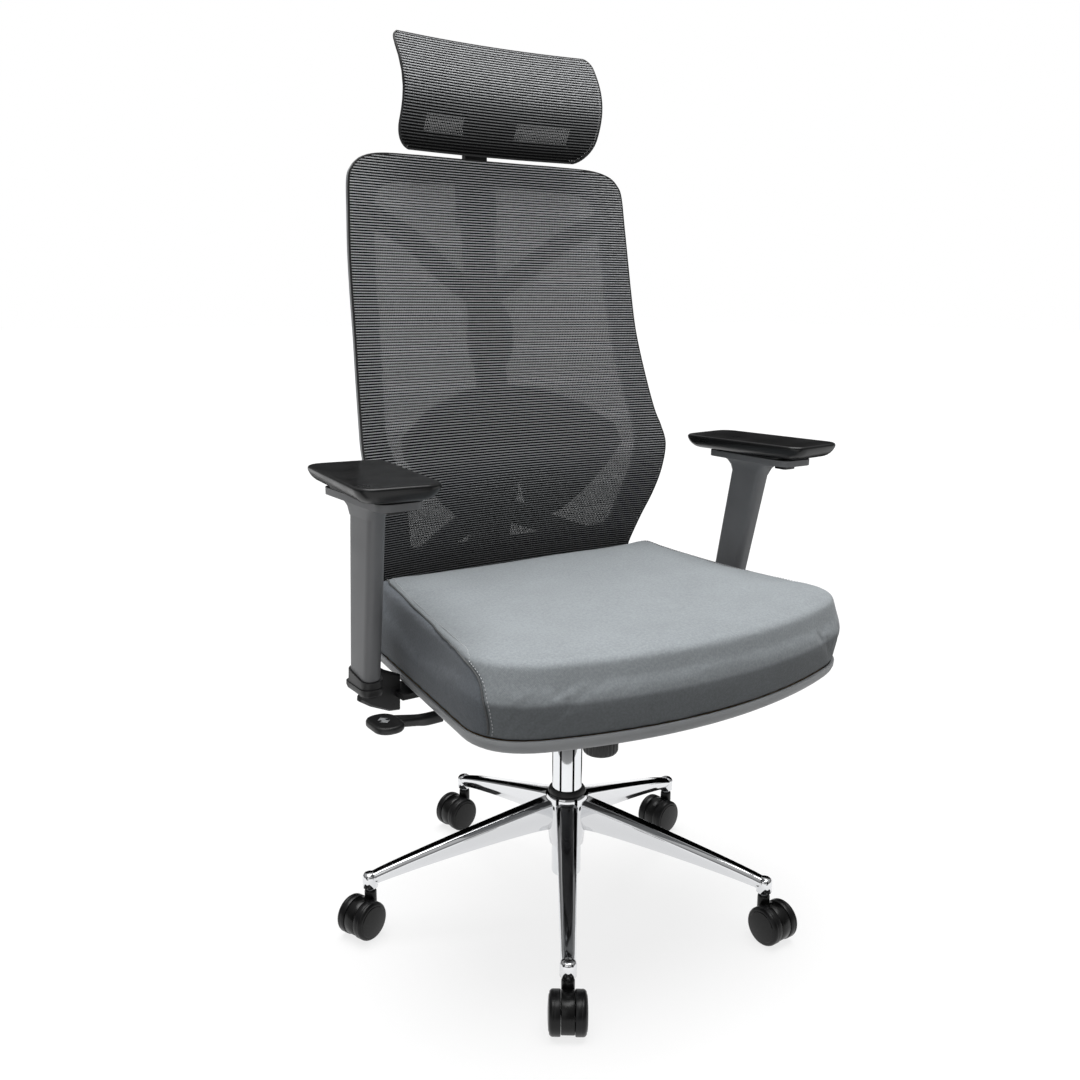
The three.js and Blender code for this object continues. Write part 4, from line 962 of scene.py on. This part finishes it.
def simulateCushion(obj):
    s = seatSettings
    before = np.array([v.co for v in obj.data.vertices])
    cloth = obj.modifiers.new("foamPressure", "CLOTH")
    cloth.settings.use_pressure = True
    cloth.settings.uniform_pressure_force = s["pressure"]
    cloth.settings.effector_weights.gravity = 0
    cloth.settings.tension_stiffness = 25
    cloth.settings.compression_stiffness = 25
    cloth.settings.quality = 4
    still = obj.vertex_groups.new(name="heldByShell")
    low = [i for i, co in enumerate(before) if co[2] < s["heldBelow"] / 1000]
    still.add(low, 1.0, "REPLACE")
    cloth.settings.vertex_group_mass = "heldByShell"
    cloth.settings.pin_stiffness = 5
    for n in range(1, s["frames"] + 1):
        scene.frame_set(n)
    evaluated = obj.evaluated_get(bpy.context.evaluated_depsgraph_get())
    after = np.array([v.co for v in evaluated.data.vertices])
    obj.modifiers.clear()
    move = after - before
    length = np.linalg.norm(move, axis=1, keepdims=True)
    most = s["mostMove"] / 1000
    move *= np.minimum(1.0, most / np.maximum(length, 1e-9))
    for vertex, co in zip(obj.data.vertices, before + move):
        vertex.co = co
    scene.frame_set(1)
    print("cushion simulated, largest move", round(float(length.max()) * 1000, 1), "mm")


def onSurface(tree, point):
    found = tree.find_nearest(Vector(point) / 1000)
    return found[0] * 1000, found[1]


def seamLine(side, inward):
    places = []
    for i, (x, y, z) in enumerate(seamPlaces):
        down = min(1.0, max(0.0, (440 - z) / 20)) if i > 4 else 0.0
        places.append((side * (x - inward * (1 - 0.55 * down)), y - inward * down * 0.9,
                       z + rearRise(y, z) + inward * 0.35 * (1 - down)))
    return smoothLine(places, 8)


def makeCushion():
    s = seatSettings
    rings = []
    for inset, level in cushionProfile:
        ease = s["sideEase"] if level > s["shellTop"] else 0
        rings.append([(x, y, z + rearRise(y, z)) for x, y, z in seatRing(inset + ease, level)])
    cushion = makePiece("seatCushion", *loft(rings), finish["seatCloth"])
    remesh = cushion.modifiers.new("evenMesh", "REMESH")
    remesh.mode = "VOXEL"
    remesh.voxel_size = s["voxel"] / 1000
    finishPiece(cushion)
    simulateCushion(cushion)
    smooth = cushion.modifiers.new("settle", "SMOOTH")
    smooth.factor, smooth.iterations = 0.5, 1
    finer = cushion.modifiers.new("finer", "SUBSURF")
    finer.levels = finer.render_levels = 1
    finishPiece(cushion)
    tree = BVHTree.FromObject(cushion, bpy.context.evaluated_depsgraph_get())
    seams = {side: [onSurface(tree, p) for p in seamLine(side, 0)] for side in (1, -1)}
    stitchLines = {side: [onSurface(tree, p) for p in seamLine(side, s["stitchInset"])] for side in (1, -1)}
    mesh = cushion.data
    co = np.array([v.co for v in mesh.vertices]) * 1000
    normals = np.array([v.normal for v in mesh.vertices])
    for side in (1, -1):
        seam = np.array([p for p, n in seams[side]])
        near = np.where(side * co[:, 0] > 170)[0]    # the seams lie further out than this
        distance = np.full(len(co), 1e3)
        distance[near] = np.sqrt(((co[near, None, :] - seam[None, :, :]) ** 2).sum(2)).min(1)
        co -= normals * (s["seamDepth"] * np.exp(-(distance / s["seamSpread"]) ** 2))[:, None]
    waves = np.sin(co[:, 1] / 17 + 1.3 * np.sin(co[:, 0] / 31))
    ripple = s["ripple"] * waves * np.clip((co[:, 2] - 400) / 40, 0, 1)
    co += normals * ripple[:, None]
    mesh.vertices.foreach_set("co", (co / 1000).ravel())
    mesh.materials.clear()
    mesh.materials.append(finish["seatCloth"])
    mesh.materials.append(finish["sideClothPaintedShade"])
    middles = np.array([face.center for face in mesh.polygons]) * 1000
    isSide = (middles[:, 1] > 104) & (middles[:, 2] < 446)    # the rear face under the top's round edge
    for side in (1, -1):
        seam, out = (np.array([pair[k] for pair in seams[side]]) for k in (0, 1))
        ahead = np.gradient(seam, axis=0)
        near = np.where((side * middles[:, 0] > 165) & (middles[:, 1] > -235))[0]
        closest = ((middles[near, None, :] - seam[None, :, :]) ** 2).sum(2).argmin(1)
        across = np.cross(out[closest], ahead[closest])
        isSide[near] |= side * (across * (middles[near] - seam[closest])).sum(1) > 0
    # Side and rear faces take the darker side cloth, which is painted shade.
    for face, atSide in zip(mesh.polygons, isSide):
        face.material_index = int(atSide)
        face.use_smooth = True
    mesh.update()
    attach(cushion, "seat")
    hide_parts("seat_cushion")
    sunk = [[tuple(p - n * 0.3) for p, n in seams[side]] for side in (1, -1)]
    piping = makeThreads("seatSeamPiping", sunk, s["pipingRadius"], 8, finish["piping"])
    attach(piping, "seat")
    places = []
    for side in (1, -1):
        line = stitchLines[side]
        run, following = 0.0, s["stitchPitch"]
        for (a, an), (b, bn) in zip(line, line[1:]):
            step = (b - a).length
            while run + step >= following and step > 0:
                t = (following - run) / step
                normal = an.lerp(bn, t).normalized()
                ahead = (b - a).normalized()
                across = normal.cross(ahead).normalized()
                turn = Matrix((ahead, across, ahead.cross(across))).transposed().to_4x4()
                places.append(Matrix.Translation(a.lerp(b, t) + normal * 0.25) @ turn)
                following += s["stitchPitch"]
            run += step
    end = s["stitchLong"] / 2
    stitch = revolve([(onAxis, -end), (0.35, 0.2 - end), (0.5, -0.5), (0.5, 0.5), (0.35, end - 0.2),
                      (onAxis, end)], 6)
    stitch = moved(stitch, turnOut)
    stitches = makeCopies("seatTopStitching", stitch, places, finish["thread"], 80)
    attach(stitches, "seat")


makeShell()
makeCushion()
print("seat made")


# arms

armSettings = {"x": 292, "y": -38, "toe": 6.5, "padWide": 94, "padLong": 200, "padCorner": 20,
               "footFace": 339.4, "footBoltX": (168, 205), "footBoltY": (4, 26)}
# profile of (distance in from the outline, height)
padProfile = [(15, 601), (13, 601.2), (10.5, 602), (7.8, 603.4), (4.6, 606.2), (2, 610), (0.5, 613.4),
              (0, 615.5), (0.2, 617), (0.9, 618.2), (2.2, 618.9), (4.2, 619), (9, 618.9), (20, 618.6),
              (36, 618.5)]


def makeArms():
    s = armSettings
    for side, name in ((-1, "right"), (1, "left")):
        here = place(side * s["x"], s["y"], turn=side * s["toe"])
        rings = []
        for inset, z in padProfile:
            wide, deep = s["padWide"] - 2 * inset, s["padLong"] - 2 * inset
            rings.append([(x, y, z) for x, y in roundedBox(wide, deep, s["padCorner"] - inset * 0.5, 8)])
        pad = makePiece(f"armPad_{name}", *moved(loft(rings), here), finish["padSkin"], 50)
        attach(pad, f"arm_pad_{name}")
        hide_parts(f"arm_pad_{name}")
        for node, title, look, slotName, edge in (
                ("arm_bracket", "armBracket", "glassNylon", "black_plastic", 1.0),
                ("arm_post", "armInnerPost", "zinc", "steel", 0.5),
                ("arm_sleeve", "armSleeve", "armGrey", "arm_plastic", 0.9),
                ("arm_button", "armHeightButton", "blackAbs", "black_plastic", 0.8),
                ("pad_carrier", "padCarrier", "glassNylon", "black_plastic", 0.8)):
            finishedCopy(f"{node}_{name}", f"{title}_{name}", finish[look], edge)
        bolts = [facing((side * x, y, s["footFace"]), (0, 0, -1)) for x in s["footBoltX"]
                 for y in s["footBoltY"]]
        heads = makeCopies(f"armBracketBolts_{name}", screwHead(5.5, 2.5, 4), bolts, finish["zinc"])
        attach(heads, "seat")


makeArms()
print("arms made")


# backrest

backSettings = {"bottom": 428, "top": 981, "windowBottom": 484, "windowTop": 949, "half": 236, "sag": 22,
                "band": 38, "meanHalf": 222, "near": 3.4, "thick": 9, "ribPitch": 3.3, "ribRadius": 0.78,
                "bindingRadius": 1.5, "segments": 46, "ribOut": 0.95, "ribEnd": 0.8, "bindingOut": 1.6,
                "groundOut": 1.75, "columns": 33}
# the right edge of the back: height, half width and depth
backEdge = smoothLine([(428, 150, 124), (431, 186, 124), (443, 197, 123), (459, 201, 120), (495, 210, 109),
                       (531, 221, 98), (566, 230, 92), (601, 236, 93), (626, 235, 103), (651, 231, 114),
                       (706, 225, 131), (761, 220, 145), (810, 218, 154), (859, 216, 161), (905, 213, 166),
                       (945, 210, 170), (960, 204, 171), (972, 190, 172), (979, 160, 173), (981, 100, 174)], 5)
edgeZ, edgeHalf, edgeY = (np.array([row[k] for row in backEdge]) for k in range(3))


def backHalf(z):
    return float(np.interp(z, edgeZ, edgeHalf))


def backY(x, z):
    s = backSettings
    return float(np.interp(z, edgeZ, edgeY)) + s["sag"] * (1 - min(1.0, (x / s["half"]) ** 2))


def backLoop():
    right = [(float(h), float(z)) for z, h, y in backEdge]
    topHalf, bottomHalf = backEdge[-1][1], backEdge[0][1]
    top = [(x, float(backSettings["top"])) for x in np.linspace(topHalf, -topHalf, 12)[1:-1]]
    bottom = [(x, float(backSettings["bottom"])) for x in np.linspace(-bottomHalf, bottomHalf, 16)[1:-1]]
    return right + top + [(-x, z) for x, z in reversed(right)] + bottom


def makeFrame():
    s = backSettings
    narrower = 1 - s["band"] / s["meanHalf"]
    shorter = (s["windowTop"] - s["windowBottom"]) / (s["top"] - s["bottom"])
    near, far = s["near"], s["near"] + s["thick"]
    section = [(0.03, near), (0.0, near + 1), (0.0, far - 2.5), (0.03, far - 0.8), (0.09, far),
               (0.9, far), (0.97, far - 0.8), (1.0, far - 2), (1.0, near + 0.8), (0.96, near)]
    rings = []
    for x, z in backLoop():
        inner = (x * narrower, s["windowBottom"] + (z - s["bottom"]) * shorter)
        ring = []
        for share, behind in section:
            px, pz = x + (inner[0] - x) * share, z + (inner[1] - z) * share
            ring.append((px, backY(px, pz) + behind, pz))
        rings.append(ring)
    points, faces = loft(rings + [rings[0]], caps=False)
    piece = makePiece("backFrame", points, faces, finish["shell"], 50)
    # Painted shade: faces toward the front, seen in shade behind the net, take black nylon, and the rest stays
    # grey shell.
    piece.data.materials.append(finish["glassNylon"])
    for face in piece.data.polygons:
        face.material_index = int(face.normal.y < -0.6)
    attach(piece, "back")
    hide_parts("back_frame")
    return piece


# A net on a frame: its ribs, the black ground behind them and the binding round its edge.
def stretchedNet(name, rows, surface, body, node, loop):
    s = backSettings
    ribs = []
    for z, half in rows:
        reach = half - s["ribEnd"]
        ribs.append([(x, surface(x, z) + s["ribOut"], z) for x in np.linspace(-reach, reach, s["segments"])])
    yarn = makeThreads(name + "Ribs", ribs, s["ribRadius"], 5, finish["rib" if body == "back" else "headRib"])
    hem = [(x, surface(x, z) + s["bindingOut"], z) for x, z in loop + loop[:1]]
    edge = makeThreads(name + "Binding", [hem], s["bindingRadius"], 8, finish["glassNylon"])
    points, faces = [], []
    columns = s["columns"]
    for z, half in rows[::2] + rows[-1:]:
        points += [(x, surface(x, z) + s["groundOut"], z) for x in np.linspace(-half, half, columns)]
    for j in range(len(points) // columns - 1):
        for i in range(columns - 1):
            a = j * columns + i
            faces.append((a, a + 1, a + columns + 1, a + columns))
    ground = makePiece(name + "Ground", points, faces, finish["ground"], 80, closed=False)
    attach(ground, body)
    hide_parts(node)
    for piece in (yarn, edge):
        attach(piece, body)


def netRows(low, high, half):
    low, high = low + 1.5, high - 1.5
    count = int((high - low) / backSettings["ribPitch"])
    return [(z, half(z)) for z in (low + (high - low) * k / count for k in range(count + 1))]


spineSettings = {"line": ((398, 206), (450, 200), (500, 186), (560, 170), (620, 170), (690, 188), (752, 201),
                          (825, 214), (890, 223), (964, 229)),
                 "thick": 16, "wide": (60, 46), "widerBelow": 600, "standOff": 5.6, "hubPlace": (190, 752),
                 "hubHalf": (35, 50), "socket": (54, 28, 7), "bracketScrewY": 228}


def spineY(z):
    return float(np.interp(z, *zip(*spineSettings["line"])))


# A place on the spine's arms, which lie behind the frame's band.
def onBand(x, z):
    s = backSettings
    return x, backY(x, z) + s["near"] + s["thick"] + spineSettings["standOff"], z


def makeSpine():
    s = spineSettings
    shapes = [strap([(0, y, z, s["wide"][z >= s["widerBelow"]], s["thick"]) for z, y in s["line"]], steps=4)]
    for side in (-1, 1):
        shapes.append(strap([(0, spineY(800) - 1, 800, 30, 13), (side * 60, spineY(838) - 8, 838, 28, 12),
                             (*onBand(side * 120, 880), 28, 10), (*onBand(side * 186, 912), 26, 9)]))
        shapes.append(strap([(0, spineY(520), 520, 34, 14), (side * 70, spineY(500) - 12, 492, 30, 12),
                             (*onBand(side * 130, 470), 26, 10), (*onBand(side * 176, 464), 22, 9)]))
    middle = spineY(930) + 1
    socket = roundedBox(*s["socket"], 5)
    levels = ((900, 0.9), (901.5, 0.97), (904, 1), (968, 1), (970.6, 0.97), (972, 0.9))
    shapes.append(loft([[(x * k, middle + y * k, z) for x, y in socket] for z, k in levels]))
    (wide, tall), (far, high) = s["hubHalf"], s["hubPlace"]
    ring = [(wide * math.cos(a), tall * math.sin(a)) for a in np.linspace(0, 2 * math.pi, 48, endpoint=False)]
    steps = ((1.0, 6), (1.0, -3), (0.95, -5.5), (0.86, -6), (0.52, -6), (0.46, -4.5), (0.44, 6), (1.0, 6))
    shapes.append(loft([[(x * k, far + y, high + z * k) for x, z in ring] for k, y in steps], caps=False))
    spine = makePiece("backSpine", *together(*shapes), finish["glassNylon"], 45)
    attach(spine, "back")
    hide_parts("back_spine")
    places = [(side * x, z) for x, z in ((176, 908), (150, 897), (168, 465)) for side in (1, -1)]
    screws = [facing(Vector(onBand(x, z)) + Vector((0, 4.6, 0)), (0, 1, 0)) for x, z in places]
    screws += [facing((x, s["bracketScrewY"], z), (0, 1, 0.05)) for x in (-17, 17) for z in (408, 436)]
    heads = makeCopies("backScrews", screwHead(4.6, 2.1, 3.4), screws, finish["zinc"])
    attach(heads, "back")


def makeBracket():
    bars = [strap([(side * 80, 40, 304, 6, 22), (side * 80, 68, 304, 6, 23), (side * 80, 112, 305, 8, 26),
                   (side * 40, 158, 307, 16, 22), (0, 176, 311, 20, 22)], (0, 0, 1), 0.2) for side in (-1, 1)]
    up = strap([(0, 150, 310, 64, 20), (0, 196, 317, 64, 18), (0, 219, 345, 62, 14), (0, 222, 400, 60, 12),
                (0, 217, 440, 56, 10), (0, 211, 470, 50, 8)])
    piece = makePiece("backBracket", *together(*bars, up), finish["powder"], 45)
    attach(piece, "back")
    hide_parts("back_bracket")


def makeBack():
    makeFrame()
    rows = netRows(428, 981, backHalf)
    stretchedNet("backNet", rows, backY, "back", "back_mesh", backLoop())
    makeSpine()
    makeBracket()
    finishedCopy("lumbar_pad", "lumbarPad", finish["glassNylon"], 1.5)


makeBack()
print("backrest made")


# headrest

headSettings = {"half": 149, "bottom": 986, "top": 1122, "bulge": 31, "y": 178, "sag": 14, "lowCorner": 30,
                "highCorner": 14}


def headHalf(z):
    s = headSettings
    radius = s["lowCorner"] if z < (s["bottom"] + s["top"]) / 2 else s["highCorner"]
    inside = max(0.0, min(radius, z - s["bottom"], s["top"] - z))
    return s["half"] - radius + math.sqrt(radius ** 2 - (radius - inside) ** 2)


def headY(x, z):
    s = headSettings
    t = (z - s["bottom"]) / (s["top"] - s["bottom"])
    return s["y"] - s["bulge"] * math.sin(math.pi * t) + s["sag"] * (1 - (x / s["half"]) ** 2) - 4


def makeHeadrest():
    s = headSettings
    middle, reach = (s["bottom"] + s["top"]) / 2, (s["top"] - s["bottom"] - 2) / 2
    heights = [middle + reach * math.sin(math.pi * t) for t in np.linspace(-0.5, 0.5, 34)]
    right = [(headHalf(z), float(z)) for z in heights]
    top = [(float(x), s["top"] - 1.0) for x in np.linspace(right[-1][0], -right[-1][0], 14)[1:-1]]
    bottom = [(float(x), s["bottom"] + 1.0) for x in np.linspace(-right[0][0], right[0][0], 14)[1:-1]]
    loop = right + top + [(-x, z) for x, z in reversed(right)] + bottom
    rows = netRows(s["bottom"], s["top"], headHalf)
    stretchedNet("headNet", rows, headY, "headrest", "headrest_mesh", loop)
    for node, name, look, slotName, edge in (
            ("headrest_frame", "headrestFrame", "glassNylon", "black_plastic", 1.0),
            ("headrest_post", "headrestPost", "glassNylon", "black_plastic", 0.8),
            ("headrest_pin", "headrestPin", "pin", "steel", 0.4)):
        finishedCopy(node, name, finish[look], edge)


makeHeadrest()
print("headrest made")
